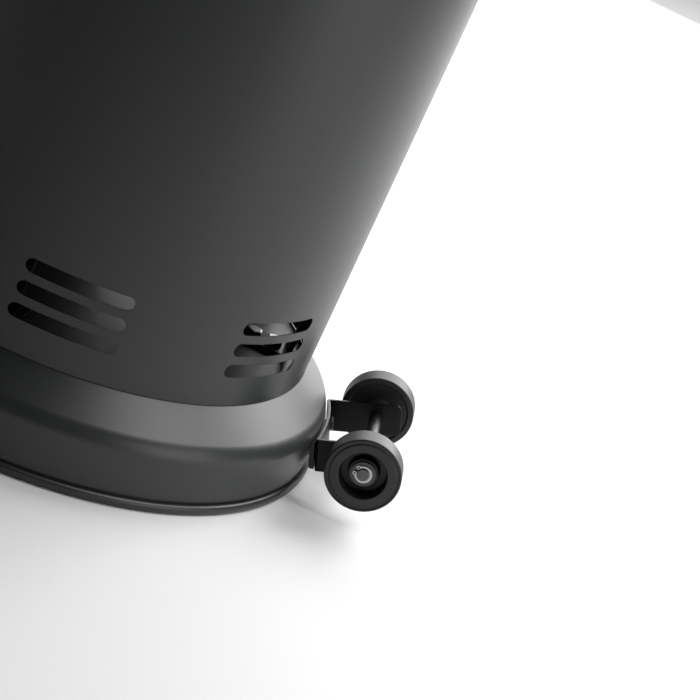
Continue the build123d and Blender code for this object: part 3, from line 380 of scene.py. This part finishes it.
# %% Build a finish
def make_finish(name, dark, light, rough=(0.4, 0.5), metallic=0.0, scale=900.0, bump=0.05,
                lines=None, dust_amount=0.0, dust_tone=(0.32, 0.30, 0.27), wear_and_highlight_amount=0.0,
                worn_and_highlight_tone=(0.35, 0.35, 0.35), **constants):
    """A Principled material from two tones, a roughness range and the shared groups."""
    material = bpy.data.materials.new(name)
    material.use_nodes = True
    tree = material.node_tree
    shader = tree.nodes["Principled BSDF"]
    where = tree.nodes.new("ShaderNodeTexCoord").outputs["Object"]
    skin = place_group(tree, grain, where, Scale=scale)
    height, tone = skin.outputs["Height"], skin.outputs["Tone"]
    if lines:
        stretch = tree.nodes.new("ShaderNodeMapping")
        stretch.inputs["Scale"].default_value = lines
        tree.links.new(where, stretch.inputs["Vector"])
        brushed = place_group(tree, brush, stretch.outputs["Vector"], Scale=scale)
        height, tone = brushed.outputs["Height"], brushed.outputs["Tone"]
    shifted = math_node(tree, "ADD", math_node(tree, "MULTIPLY", tone, 0.5),
                        math_node(tree, "MULTIPLY", skin.outputs["Cloud"], 0.5))
    colour = mix_colour(tree, shifted, dark, light)
    # Lighter corners: partly edge wear and partly a painted highlight along the edges.
    if wear_and_highlight_amount:
        worn_and_highlit_edges = place_group(tree, edge_wear_and_highlight, where, Amount=wear_and_highlight_amount)
        colour = mix_colour(tree, worn_and_highlit_edges.outputs["Mask"], colour, worn_and_highlight_tone)
    sheen = tree.nodes.new("ShaderNodeMapRange")
    sheen.inputs["To Min"].default_value = rough[0]
    sheen.inputs["To Max"].default_value = rough[1]
    tree.links.new(shifted, sheen.inputs["Value"])
    roughness = sheen.outputs["Result"]
    if dust_amount:
        film = place_group(tree, dust, where, Amount=dust_amount)
        colour = mix_colour(tree, film.outputs["Mask"], colour, dust_tone)
        roughness = math_node(tree, "ADD", roughness,
                              math_node(tree, "MULTIPLY", film.outputs["Mask"], 0.4), True)
    relief = tree.nodes.new("ShaderNodeBump")
    relief.inputs["Strength"].default_value = bump
    relief.inputs["Distance"].default_value = 0.2 * MM
    tree.links.new(height, relief.inputs["Height"])
    tree.links.new(colour, shader.inputs["Base Color"])
    tree.links.new(roughness, shader.inputs["Roughness"])
    tree.links.new(relief.outputs["Normal"], shader.inputs["Normal"])
    shader.inputs["Metallic"].default_value = metallic
    for label, value in constants.items():
        shader.inputs[label.replace("_", " ")].default_value = value
    return material


# %% [markdown]
# The big panels are powder coated: a satin charcoal grey with a very fine orange-peel
# skin. The wheels are a soft matt plastic, the bracket a harder black coat, and the
# fasteners bright zinc or spring steel. The hot end is stainless steel, which the flame
# tints straw, and the dish is rolled aluminium with a bright, faintly lined face.

# %% The coats and plastics
coat = make_finish("powder coat", (0.016, 0.0172, 0.018), (0.021, 0.0225, 0.0235),
                   rough=(0.36, 0.41), scale=1400.0, bump=0.08)
# The black coat's lighter corners are partly wear and partly a painted highlight on the strap's
# edges.
black_coat = make_finish("black coat", (0.003, 0.003, 0.003), (0.005, 0.005, 0.005),
                         rough=(0.32, 0.40), scale=1200.0, bump=0.08, wear_and_highlight_amount=0.05,
                         Specular_IOR_Level=0.2)
wheel_plastic = make_finish("wheel plastic", (0.010, 0.010, 0.010), (0.018, 0.018, 0.018),
                            rough=(0.46, 0.56), scale=1600.0, bump=0.14)
black_plastic = make_finish("black plastic", (0.010, 0.010, 0.011), (0.018, 0.018, 0.019),
                            rough=(0.40, 0.52), scale=1800.0, bump=0.15)
dull_zinc = make_finish("dull zinc", (0.030, 0.030, 0.030), (0.16, 0.16, 0.16),
                        rough=(0.40, 0.60), metallic=1.0, scale=1500.0, bump=0.3)
red_plastic = make_finish("red plastic", (0.42, 0.012, 0.008), (0.50, 0.020, 0.012),
                          rough=(0.22, 0.30), scale=600.0, bump=0.02)
ceramic = make_finish("ceramic", (0.72, 0.70, 0.65), (0.80, 0.78, 0.74),
                      rough=(0.20, 0.30), scale=700.0, bump=0.03)
print("coats and plastics:", coat.name, black_coat.name, wheel_plastic.name)

# %% The metals
zinc = make_finish("zinc plate", (0.42, 0.43, 0.45), (0.62, 0.63, 0.65), rough=(0.28, 0.42),
                   metallic=1.0, scale=500.0, bump=0.05, dust_amount=0.05)
turned_steel = make_finish("turned steel", (0.085, 0.085, 0.085), (0.15, 0.15, 0.15),
                           rough=(0.38, 0.48), metallic=1.0, scale=60.0, lines=(40, 1, 1),
                           bump=0.06)
spring_steel = make_finish("spring steel", (0.30, 0.30, 0.30), (0.46, 0.46, 0.46),
                           rough=(0.18, 0.30), metallic=1.0, scale=500.0, bump=0.03)
black_steel = make_finish("black steel", (0.010, 0.010, 0.011), (0.020, 0.020, 0.022),
                          rough=(0.32, 0.42), metallic=0.4, scale=700.0, bump=0.05)
cast_iron = make_finish("cast ballast", (0.020, 0.020, 0.021), (0.045, 0.043, 0.041),
                        rough=(0.70, 0.85), metallic=0.6, scale=350.0, bump=0.6)
brass = make_finish("brass", (0.55, 0.37, 0.13), (0.70, 0.50, 0.21), rough=(0.22, 0.34),
                    metallic=1.0, scale=60.0, lines=(1, 40, 1), bump=0.04)
cast_alloy = make_finish("cast alloy", (0.40, 0.40, 0.41), (0.55, 0.55, 0.56),
                         rough=(0.45, 0.60), metallic=1.0, scale=700.0, bump=0.25)
stainless = make_finish("stainless", (0.38, 0.36, 0.33), (0.56, 0.54, 0.51),
                        rough=(0.24, 0.38), metallic=1.0, scale=30.0, lines=(1, 1, 60),
                        bump=0.06)
aluminium = make_finish("rolled aluminium", (0.66, 0.67, 0.69), (0.80, 0.81, 0.82),
                        rough=(0.20, 0.32), metallic=1.0, scale=30.0, lines=(60, 1, 1),
                        bump=0.04, dust_amount=0.05)
finishes = {
    "powder_coat": coat, "black_coat": black_coat, "black_steel": black_steel,
    "zinc_steel": zinc, "bright_steel": turned_steel, "spring_steel": spring_steel,
    "cast_ballast": cast_iron, "wheel_plastic": wheel_plastic,
    "black_plastic": black_plastic, "red_plastic": red_plastic, "valve_alloy": cast_alloy,
    "brass": brass, "ceramic_white": ceramic, "stainless": stainless,
    "bright_aluminium": aluminium,
}
print("finishes:", len(finishes))

# %% [markdown]
# ## The base cover
# The cover is one pressing: a rolled bead that stands on the ground, an upright wall, a
# rounded shoulder, a slope and a flat deck. A torus, a cylinder and a cone would leave
# hard joints between them. One spun section gives the wall, shoulder and slope a single
# skin, with the thin dark groove above the bead where the two sheets are seamed.

# %% Spin the base cover
inner_corner = corner_height - wall_sheet / cos(slope) + wall_sheet * tan(slope)
deck_inner = deck_radius - wall_sheet * tan(slope / 2)
cover = lathe([
    (0, deck_height, 0),
    (deck_radius, deck_height, deck_round),
    (wall_radius, corner_height, shoulder_round),
    (wall_radius, bead_height + seam_height, 0.4 * MM),
    (wall_radius - seam_depth, bead_height + 1.3 * MM, 0.2 * MM),
    (wall_radius - seam_depth, bead_height - 0.3 * MM, 0),
    (wall_radius + 0.6 * MM, bead_height, 0.2 * MM),
    (bead_outer, bead_height, bead_top_round),
    (bead_outer, 0, bead_foot_round),
    (bead_outer - bead_height, 0, bead_inner_round),
    (bead_outer - bead_height, 6 * MM, 0.5 * MM),
    (wall_radius - wall_sheet, 7 * MM, 0),
    (wall_radius - wall_sheet, inner_corner, shoulder_round - wall_sheet),
    (deck_inner, deck_height - wall_sheet, deck_round + wall_sheet),
    (0, deck_height - wall_sheet, 0),
], steps=256, segments=10)
finish_piece(cover, "base_cover_pressing", "base", coat, ["base_cover"])

# %% [markdown]
# ## The housing
# The housing is a rolled sheet with seven groups of three slots, and a notch in its lower
# edge that drops over a lug on the base. Slots in a rolled sheet are cut flat and then
# curve with it. A Boolean with rounded cutters gives the same crisp, thin edges. The
# shell's walls are exactly round, so the shading takes its normals from the axis, which
# hides the flats that any polygon cylinder has.

# %% Cut the housing's slots and notch
def facing(angle, radius, height):
    """A frame on the cylinder: X is tangential, Y is up and Z points outwards."""
    a = radians(angle)
    out = Vector((cos(a), sin(a), 0))
    along = Vector((-sin(a), cos(a), 0))
    turn = Matrix((along, Vector((0, 0, 1)), out)).transposed().to_4x4()
    return Matrix.Translation(out * radius + Vector((0, 0, height))) @ turn


cutter_depth = 20 * MM


def add_slot_cutter(bm, place):
    """A disc stretched to a slot and pushed through the sheet."""
    made = bmesh.ops.create_circle(bm, cap_ends=True, segments=32, radius=vent_height / 2)
    half = (vent_length - vent_height) / 2
    for side in (-1, 1):
        group = [v for v in made["verts"] if v.co.x * side > 1e-7]
        bmesh.ops.translate(bm, verts=group, vec=(side * half, 0, 0))
    face = [f for f in bm.faces if f.verts[0] in made["verts"]]
    pushed = bmesh.ops.extrude_face_region(bm, geom=face)
    top = [g for g in pushed["geom"] if isinstance(g, bmesh.types.BMVert)]
    bmesh.ops.translate(bm, verts=top, vec=(0, 0, cutter_depth))
    bmesh.ops.translate(bm, verts=made["verts"], vec=(0, 0, -cutter_depth / 2))
    bmesh.ops.translate(bm, verts=top, vec=(0, 0, -cutter_depth / 2))
    bmesh.ops.transform(bm, matrix=place, verts=made["verts"] + top)


cutters = bmesh.new()
for angle in vent_angles:
    for height in vent_heights:
        add_slot_cutter(cutters, facing(angle, shell_radius, height))
notch = bmesh.ops.create_cube(cutters, size=1)
bmesh.ops.scale(cutters, verts=notch["verts"], vec=(notch_width, 2 * notch_height, 12 * MM))
bmesh.ops.transform(cutters, matrix=facing(notch_angle, shell_radius, shell_low.z),
                    verts=notch["verts"])
bmesh.ops.recalc_face_normals(cutters, faces=cutters.faces)
cutter_mesh = bpy.data.meshes.new("slot cutters")
cutters.to_mesh(cutter_mesh)
cutter_object = bpy.data.objects.new("slot cutters", cutter_mesh)
bpy.context.scene.collection.objects.link(cutter_object)
print("cutters:", len(cutter_mesh.polygons), "faces")


# %% Roll the housing and take the cutters out of it
def round_normals(mesh):
    """Gives the round walls the normals of a true cylinder."""
    normals = []
    for polygon in mesh.polygons:
        flat = polygon.normal
        for index in polygon.loop_indices:
            spot = mesh.vertices[mesh.loops[index].vertex_index].co
            axis_out = Vector((spot.x, spot.y, 0)).normalized()
            lean = flat.dot(axis_out)
            normals.append(axis_out * (1 if lean > 0 else -1) if abs(lean) > 0.98 else flat)
    mesh.normals_split_custom_set(normals)


tube = lathe([(shell_radius, shell_low.z, 0), (shell_radius, shell_high.z, 0),
              (shell_radius - shell_sheet, shell_high.z, 0),
              (shell_radius - shell_sheet, shell_low.z, 0)], steps=360)
blank_mesh = bpy.data.meshes.new("housing blank")
tube.to_mesh(blank_mesh)
tube.free()
blank = bpy.data.objects.new("housing blank", blank_mesh)
bpy.context.scene.collection.objects.link(blank)
cut = blank.modifiers.new("slots", "BOOLEAN")
cut.operation = "DIFFERENCE"
cut.solver = "EXACT"
cut.object = cutter_object
bpy.context.view_layer.update()
graph = bpy.context.evaluated_depsgraph_get()
cut_mesh = bpy.data.meshes.new_from_object(blank.evaluated_get(graph))
shell = bmesh.new()
shell.from_mesh(cut_mesh)
for spare in (blank, cutter_object):
    bpy.data.objects.remove(spare)
bmesh.ops.remove_doubles(shell, verts=shell.verts, dist=1e-6)
housing = finish_piece(shell, "housing_shell_rolled", "housing", coat,
                       ["housing_shell"])
housing.modifiers.clear()
round_normals(housing.data)

# %% [markdown]
# ## The lid and its bush
# The lid is a shallow pressed cone. Its skirt covers the top of the shell, and a short
# collar holds the plastic bush that slides on the post when the housing is lifted.

# %% Spin the lid
lid_sheet = 1.0 * MM
bush_flange = 3 * MM
collar_height = 12 * MM
cone_drop = 10 * MM
collar_radius = bush_high.x - bush_flange
lid_flat = lid_high.z - collar_height
lid_edge = lid_flat - cone_drop
skirt_radius = lid_high.x
flat_radius = 2 * collar_radius
lid = lathe([
    (skirt_radius, lid_low.z, 0.3 * MM),
    (skirt_radius, lid_edge, 3 * MM),
    (flat_radius, lid_flat, 20 * MM),
    (collar_radius + lid_sheet, lid_flat, 3 * MM),
    (collar_radius + lid_sheet, lid_high.z, 0.3 * MM),
    (collar_radius, lid_high.z, 0.3 * MM),
    (collar_radius, lid_flat - lid_sheet, 2.2 * MM),
    (flat_radius, lid_flat - lid_sheet, 20 * MM),
    (skirt_radius - lid_sheet, lid_edge - lid_sheet, 2 * MM),
    (skirt_radius - lid_sheet, lid_low.z, 0.3 * MM),
], steps=256, segments=6)
finish_piece(lid, "housing_lid_pressing", "housing", coat, ["housing_lid"])

# %% [markdown]
# ## The wheels
# Each wheel is moulded in one piece: a plain tread with narrow rounded edges, a flat face
# with a fine ring groove in it, and a deep round recess whose hub carries the washer and
# the retaining ring. It is turned like the base, round Z, and then laid over so that its
# axis runs along the axle.

# %% Turn the wheels
def wheel_section():
    """Half the wheel's section, with the outer face at height 0 and the hub inwards."""
    inner = -wheel_width
    hub_end = wheel_low.x - wheel_high.x
    bore = axle_radius + bore_gap
    return [
        (bore, -hub_sink, 0.3 * MM),
        (bore, hub_end, 0.3 * MM),
        (hub_radius, hub_end, 0.8 * MM),
        (hub_radius, inner + back_sink, 1.0 * MM),
        (wheel_radius - 5.5 * MM, inner + back_sink, 1.2 * MM),
        (wheel_radius - 4.5 * MM, inner, 0.5 * MM),
        (wheel_radius, inner, tread_round),
        (wheel_radius, 0, tread_round),
        (face_groove[1], 0, 0.2 * MM),
        (face_groove[1] - 0.3 * MM, -groove_depth, 0.2 * MM),
        (face_groove[0] + 0.9 * MM, -groove_depth, 0.5 * MM),
        (face_groove[0], 0, 0.3 * MM),
        (recess_radius, 0, 0.9 * MM),
        (recess_radius - 0.8 * MM, -recess_depth, 1.6 * MM),
        (hub_radius + 0.5 * MM, -recess_depth, 1.2 * MM),
        (hub_radius, -hub_sink, 0.5 * MM),
    ]


def lay_over(bm, side, outer_face):
    """Turns a piece from the Z axis to the axle, its top facing outwards."""
    bmesh.ops.rotate(bm, verts=bm.verts, cent=(0, 0, 0),
                     matrix=Matrix.Rotation(side * pi / 2, 3, "Y"))
    bmesh.ops.translate(bm, verts=bm.verts,
                        vec=(side * outer_face, axle_centre.y, axle_centre.z))


for side, place in ((-1, "left"), (1, "right")):
    wheel = lathe(wheel_section(), steps=128, segments=6)
    lay_over(wheel, side, wheel_high.x)
    finish_piece(wheel, f"wheel_{place}_moulding", f"wheel_{place}", wheel_plastic,
                 [f"wheel_{place}"])

# %% [markdown]
# ## The wheel bracket
# The bracket is a flat steel strap bent to a U. Its web is curved to the base and leans
# with the shoulder, and its ears carry the axle. Bending a strap is what an artist does
# here too: a single row of faces follows the strap, its fold lines are bevelled into
# bends, the ear corners are rounded, and only then is it given its thickness.

# %% Bend the strap
web_steps = 10
middle_curve = web_curve + strap / 2
web_centre = web_inner - web_curve
ear_x = bracket_half - strap / 2
strap_path = [(-ear_x, ear_reach)]
for k in range(web_steps + 1):
    x = -ear_x + 2 * ear_x * k / web_steps
    strap_path.append((x, web_centre + sqrt(middle_curve ** 2 - x ** 2)))
strap_path.append((ear_x, ear_reach))

bracket = bmesh.new()
row = [bracket.verts.new(Vector((x, 0, 0)) + ear_along * d + ear_square * strap_low)
       for x, d in strap_path]
path_edges = [bracket.edges.new(pair) for pair in zip(row, row[1:])]
raised = bmesh.ops.extrude_edge_only(bracket, edges=path_edges)
top_row = [g for g in raised["geom"] if isinstance(g, bmesh.types.BMVert)]
bmesh.ops.translate(bracket, verts=top_row, vec=ear_square * (strap_high - strap_low))


def at_x(edge, x):
    return all(abs(v.co.x - x) < 1e-6 for v in edge.verts)


def stands(edge):
    line = (edge.verts[0].co - edge.verts[1].co).normalized()
    return abs(line.dot(ear_square)) > 0.99


root_place = web_centre + sqrt(middle_curve ** 2 - ear_x ** 2)
folds = [e for e in bracket.edges if stands(e)
         and abs(abs(e.verts[0].co.x) - ear_x) < 1e-6
         and abs(e.verts[0].co.dot(ear_along) - root_place) < 1e-5]
bmesh.ops.bevel(bracket, geom=folds, offset=strap_bend - strap / 2, offset_type="OFFSET",
                segments=6, profile=0.5, affect="EDGES", material=-1, clamp_overlap=True)
tips = [v for v in bracket.verts if v.co.dot(ear_along) > ear_reach - 1e-5]
bmesh.ops.bevel(bracket, geom=tips, offset=ear_corner, offset_type="OFFSET", segments=8,
                profile=0.5, affect="VERTICES", material=-1, clamp_overlap=True)
bmesh.ops.recalc_face_normals(bracket, faces=bracket.faces)
bmesh.ops.solidify(bracket, geom=bracket.faces[:], thickness=strap)
across = [v.co.x for v in bracket.verts]
bmesh.ops.recalc_face_normals(bracket, faces=bracket.faces)
print("strap spans", round(min(across), 4), "to", round(max(across), 4))
bracket_piece = finish_piece(bracket, "wheel_bracket_strap", "base", black_coat,
                             ["wheel_bracket"])
rolled = bracket_piece.modifiers.new("rolled edges", "BEVEL")
rolled.width = 0.45 * MM
rolled.segments = 3
rolled.limit_method = "ANGLE"
rolled.angle_limit = radians(50)
bracket_piece.modifiers.move(1, 0)

# %% [markdown]
# ## Axle and washers
# These are turned parts, so they come off the same lathe: a rod with chamfered ends and a
# flat washer for each wheel. The spring-steel retaining rings keep their designed shape,
# with drilled lugs either side of the gap, and get a fine broken edge.

# %% Turn the axle and the washers
axle_half = axle_high.x
axle_rod = lathe([(0, axle_half, 0), (axle_radius, axle_half, 0.6 * MM),
                  (axle_radius, -axle_half, 0.6 * MM), (0, -axle_half, 0)], steps=64, segments=3)
bmesh.ops.rotate(axle_rod, verts=axle_rod.verts, cent=(0, 0, 0),
                 matrix=Matrix.Rotation(pi / 2, 3, "Y"))
bmesh.ops.translate(axle_rod, verts=axle_rod.verts, vec=(0, axle_centre.y, axle_centre.z))
finish_piece(axle_rod, "axle_rod", "base", turned_steel, ["axle"])

washers = bmesh.new()
washer_bore = axle_radius + washer_gap
for side in (-1, 1):
    washer = lathe([(washer_bore, 0, 0.1 * MM), (washer_radius, 0, 0.35 * MM),
                    (washer_radius, -washer_thick, 0.35 * MM),
                    (washer_bore, -washer_thick, 0.1 * MM)], steps=64, segments=3)
    lay_over(washer, side, washer_high.x)
    part_mesh = bpy.data.meshes.new("washer")
    washer.to_mesh(part_mesh)
    washer.free()
    washers.from_mesh(part_mesh)
finish_piece(washers, "wheel_washers_turned", "base", dull_zinc,
             ["wheel_washers"])

# %% [markdown]
# ## Post, head and fittings
# The post is a plain tube. The can, the bezel, the knob, the burner and all the bolts
# keep their designed shapes, with merged faces and broken edges.

# %% Draw the post
post_low, post_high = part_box("post")
post_radius = post_high.x
post_wall = 1.5 * MM
post = lathe([(post_radius, post_low.z, 0.3 * MM), (post_radius, post_high.z, 0.3 * MM),
              (post_radius - post_wall, post_high.z, 0.3 * MM),
              (post_radius - post_wall, post_low.z, 0.3 * MM)], steps=96, segments=2)
finish_piece(post, "post_tube", "base", coat, ["post"])

# %% Dress the fittings
fine_edges = {
    "wheel_circlips": 0.15, "axle_circlips": 0.15, "bracket_bolts": 0.3,
    "lid_screws": 0.3, "lid_bush": 0.4, "head_shell": 0.2, "control_bezel": 0.3,
    "control_knob": 0.4, "igniter_body": 0.4, "igniter_button": 0.3, "head_flange": 0.4,
    "support_rear": 0.5, "support_left": 0.5, "support_right": 0.5, "foot_bolts": 0.3,
    "tab_bolts": 0.3, "head_screws": 0.3, "emitter_cap": 0.2, "burner_pan": 0.2,
    "burner_head": 0.2, "reflector_plate": 0.4, "reflector_screws": 0.3,
    "reflector_studs": 0.3, "wing_nuts": 0.3, "locating_lug": 0.3, "bracket_saddle": 0.4,
    "valve_body": 0.5, "mixer_tube": 0.2, "base_plate": 0.2,
}
for node, width in fine_edges.items():
    dressed_copy(node, finishes[slot_of[node]], edge=width * MM)

# %% [markdown]
# ## The emitter
# The emitter is a tube of thin steel punched all over with small holes. Thousands of
# Boolean cuts would be slow and heavy. It is quicker to punch a grid: each face of a tube
# is inset, the small face inside is rounded by a vertex bevel and taken out, and a
# Solidify gives the sheet its thickness.

# %% Punch the emitter screen
screen_low, screen_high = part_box("emitter_screen")
screen_radius = screen_high.x
columns = 72
rows = 26
web_between = 1.9 * MM
hole_round = 1.5 * MM
screen_sheet = 0.8 * MM
largest_hole = 4e-5
screen = bmesh.new()
rim = bmesh.ops.create_circle(screen, cap_ends=False, segments=columns, radius=screen_radius)
bmesh.ops.translate(screen, verts=rim["verts"], vec=(0, 0, screen_low.z))
step_up = (screen_high.z - screen_low.z) / rows
ring = screen.edges[:]
for k in range(rows):
    grown = bmesh.ops.extrude_edge_only(screen, edges=ring)
    rim_verts = [g for g in grown["geom"] if isinstance(g, bmesh.types.BMVert)]
    ring = [g for g in grown["geom"] if isinstance(g, bmesh.types.BMEdge)
            and all(v in rim_verts for v in g.verts)]
    bmesh.ops.translate(screen, verts=rim_verts, vec=(0, 0, step_up))
punched = [f for f in screen.faces
           if screen_low.z + step_up < f.calc_center_median().z < screen_high.z - step_up]
bmesh.ops.inset_individual(screen, faces=punched, thickness=web_between, depth=0)
bmesh.ops.bevel(screen, geom=[v for f in punched for v in f.verts], offset=hole_round,
                offset_type="OFFSET", segments=2, profile=0.5, affect="VERTICES",
                material=-1, clamp_overlap=True)
holes = [f for f in screen.faces if len(f.verts) > 8 and f.calc_area() < largest_hole]
bmesh.ops.delete(screen, geom=holes, context="FACES")
bmesh.ops.recalc_face_normals(screen, faces=screen.faces)
bmesh.ops.solidify(screen, geom=screen.faces[:], thickness=screen_sheet)
print("holes:", len(holes))
finish_piece(screen, "emitter_screen_punched", "base", stainless,
             ["emitter_screen"], sharp=40)

# %% [markdown]
# ## The reflector
# The dish is four rolled aluminium quarters that bolt together on a round plate. Each one
# is a quarter spin of the same thin section with a rolled rim.

# %% Spin the quarters of the dish
dish_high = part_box("reflector_panel_1")[1]
dish_radius = dish_high.x
dish_sphere = 915 * MM
dish_hole = 55 * MM
rim_round = 3 * MM
dish_sheet = 0.8 * MM
crown = dish_high.z + (dish_sphere - sqrt(dish_sphere ** 2 - dish_hole ** 2))


def dish_line(radius, depth=0.0):
    """Height of the dish at a radius, at a depth below its upper face."""
    return crown - dish_sphere + sqrt((dish_sphere - depth) ** 2 - radius ** 2)


dish_steps = 24
edge_radius = dish_radius - rim_round
radii = [dish_hole + (edge_radius - dish_hole) * k / dish_steps for k in range(dish_steps + 1)]
upper_line = [(r, dish_line(r), 0) for r in radii]
lower_line = [(r, dish_line(r, dish_sheet), 0) for r in reversed(radii)]
rim_centre = dish_line(edge_radius, dish_sheet / 2)
rim_line = [(edge_radius + rim_round * sin(a), rim_centre + rim_round * cos(a), 0)
            for a in (pi * k / 8 for k in range(9))]
gap = 0.2 * MM / dish_radius
for k in range(4):
    quarter = bmesh.new()
    rounded_section(quarter, upper_line + rim_line + lower_line, 1)
    bmesh.ops.rotate(quarter, verts=quarter.verts, cent=(0, 0, 0),
                     matrix=Matrix.Rotation(k * pi / 2 + gap, 3, "Z"))
    bmesh.ops.spin(quarter, geom=quarter.faces[:] + quarter.edges[:] + quarter.verts[:],
                   cent=(0, 0, 0), axis=(0, 0, 1), angle=pi / 2 - 2 * gap, steps=40,
                   use_merge=False)
    bmesh.ops.recalc_face_normals(quarter, faces=quarter.faces)
    finish_piece(quarter, f"reflector_quarter_{k + 1}", "base", aluminium,
                 [f"reflector_panel_{k + 1}"], sharp=40)

# %% [markdown]
# ## The pieces that keep their designed mesh
# What is inside, and a few plain small parts, are shown as designed. They only get their
# finish, in their own material slots.

# %% Give the remaining nodes their finishes
kept = [n for n, node in nodes.items() if not node.hide_render]
for name in kept:
    for slot in nodes[name].material_slots:
        slot.material = finishes[slot_of[name]]
print("kept as designed:", len(kept))

# %% [markdown]
# ## Floor, camera and light
# The heater is shown from close by, low down beside its wheels, with the camera rolled so
# that the housing leans across the picture. The floor is plain and pale. A large soft
# light behind the base gives its slope a sheen. A wide one at wheel height, on the side
# away from the camera, lights the treads. Two weaker ones above and to the right keep the
# dark sheet from closing up, and the sky adds only a trace of grey.

# %% Lay the floor
floor_bm = bmesh.new()
bmesh.ops.create_grid(floor_bm, x_segments=1, y_segments=1, size=30)
floor_mesh = bpy.data.meshes.new("floor")
floor_bm.to_mesh(floor_mesh)
floor_bm.free()
floor = bpy.data.objects.new("floor", floor_mesh)
bpy.context.scene.collection.objects.link(floor)
floor_finish = bpy.data.materials.new("floor")
floor_finish.use_nodes = True
floor_shader = floor_finish.node_tree.nodes["Principled BSDF"]
floor_shader.inputs["Base Color"].default_value = (0.86, 0.86, 0.86, 1)
floor_shader.inputs["Roughness"].default_value = 0.9
floor_mesh.materials.append(floor_finish)

# %% Set the camera
camera_data = bpy.data.cameras.new("camera")
camera_data.sensor_width = 36
camera_data.lens = 121.18
camera_data.clip_start = 0.05
camera = bpy.data.objects.new("camera", camera_data)
bpy.context.scene.collection.objects.link(camera)
right = Vector((-0.09294187, 0.91097588, 0.40185166))
up = Vector((-0.34046824, -0.40834707, 0.84695575))
back = right.cross(up)
camera.matrix_world = (Matrix.Translation((1.72699, 0.11352, 0.74954))
                       @ Matrix((right, up, back)).transposed().to_4x4())
bpy.context.scene.camera = camera
print("camera at", [round(c, 3) for c in camera.location])


# %% Hang the lights
def soft_light(name, place, aim, size, power):
    """A square area light that looks at a point."""
    data = bpy.data.lights.new(name, "AREA")
    data.size = size
    data.energy = power
    lamp = bpy.data.objects.new(name, data)
    bpy.context.scene.collection.objects.link(lamp)
    lamp.location = place
    lamp.rotation_euler = (Vector(place) - Vector(aim)).to_track_quat("Z", "Y").to_euler()
    return lamp


aim_point = (0.1, 0.1, 0.1)
for lamp_settings in (
    ("back softbox", (-1.8, 1.7, 1.85), aim_point, 1.9, 88),
    ("top softbox", (0.10, 1.15, 1.85), (0.2, 0.2, 0), 0.95, 18),
    ("right softbox", (1.1, 2.4, 0.8), aim_point, 1.5, 20),
    ("backdrop", (-2.4, 0.5, 0.95), (0, 0.3, 0.3), 1.75, 48),
):
    print("hung the", soft_light(*lamp_settings).name)
world = bpy.data.worlds.new("studio")
world.use_nodes = True
world.node_tree.nodes["Background"].inputs["Color"].default_value = (1, 1, 1, 1)
world.node_tree.nodes["Background"].inputs["Strength"].default_value = 0.03
bpy.context.scene.world = world
bpy.context.scene.view_settings.view_transform = "Standard"
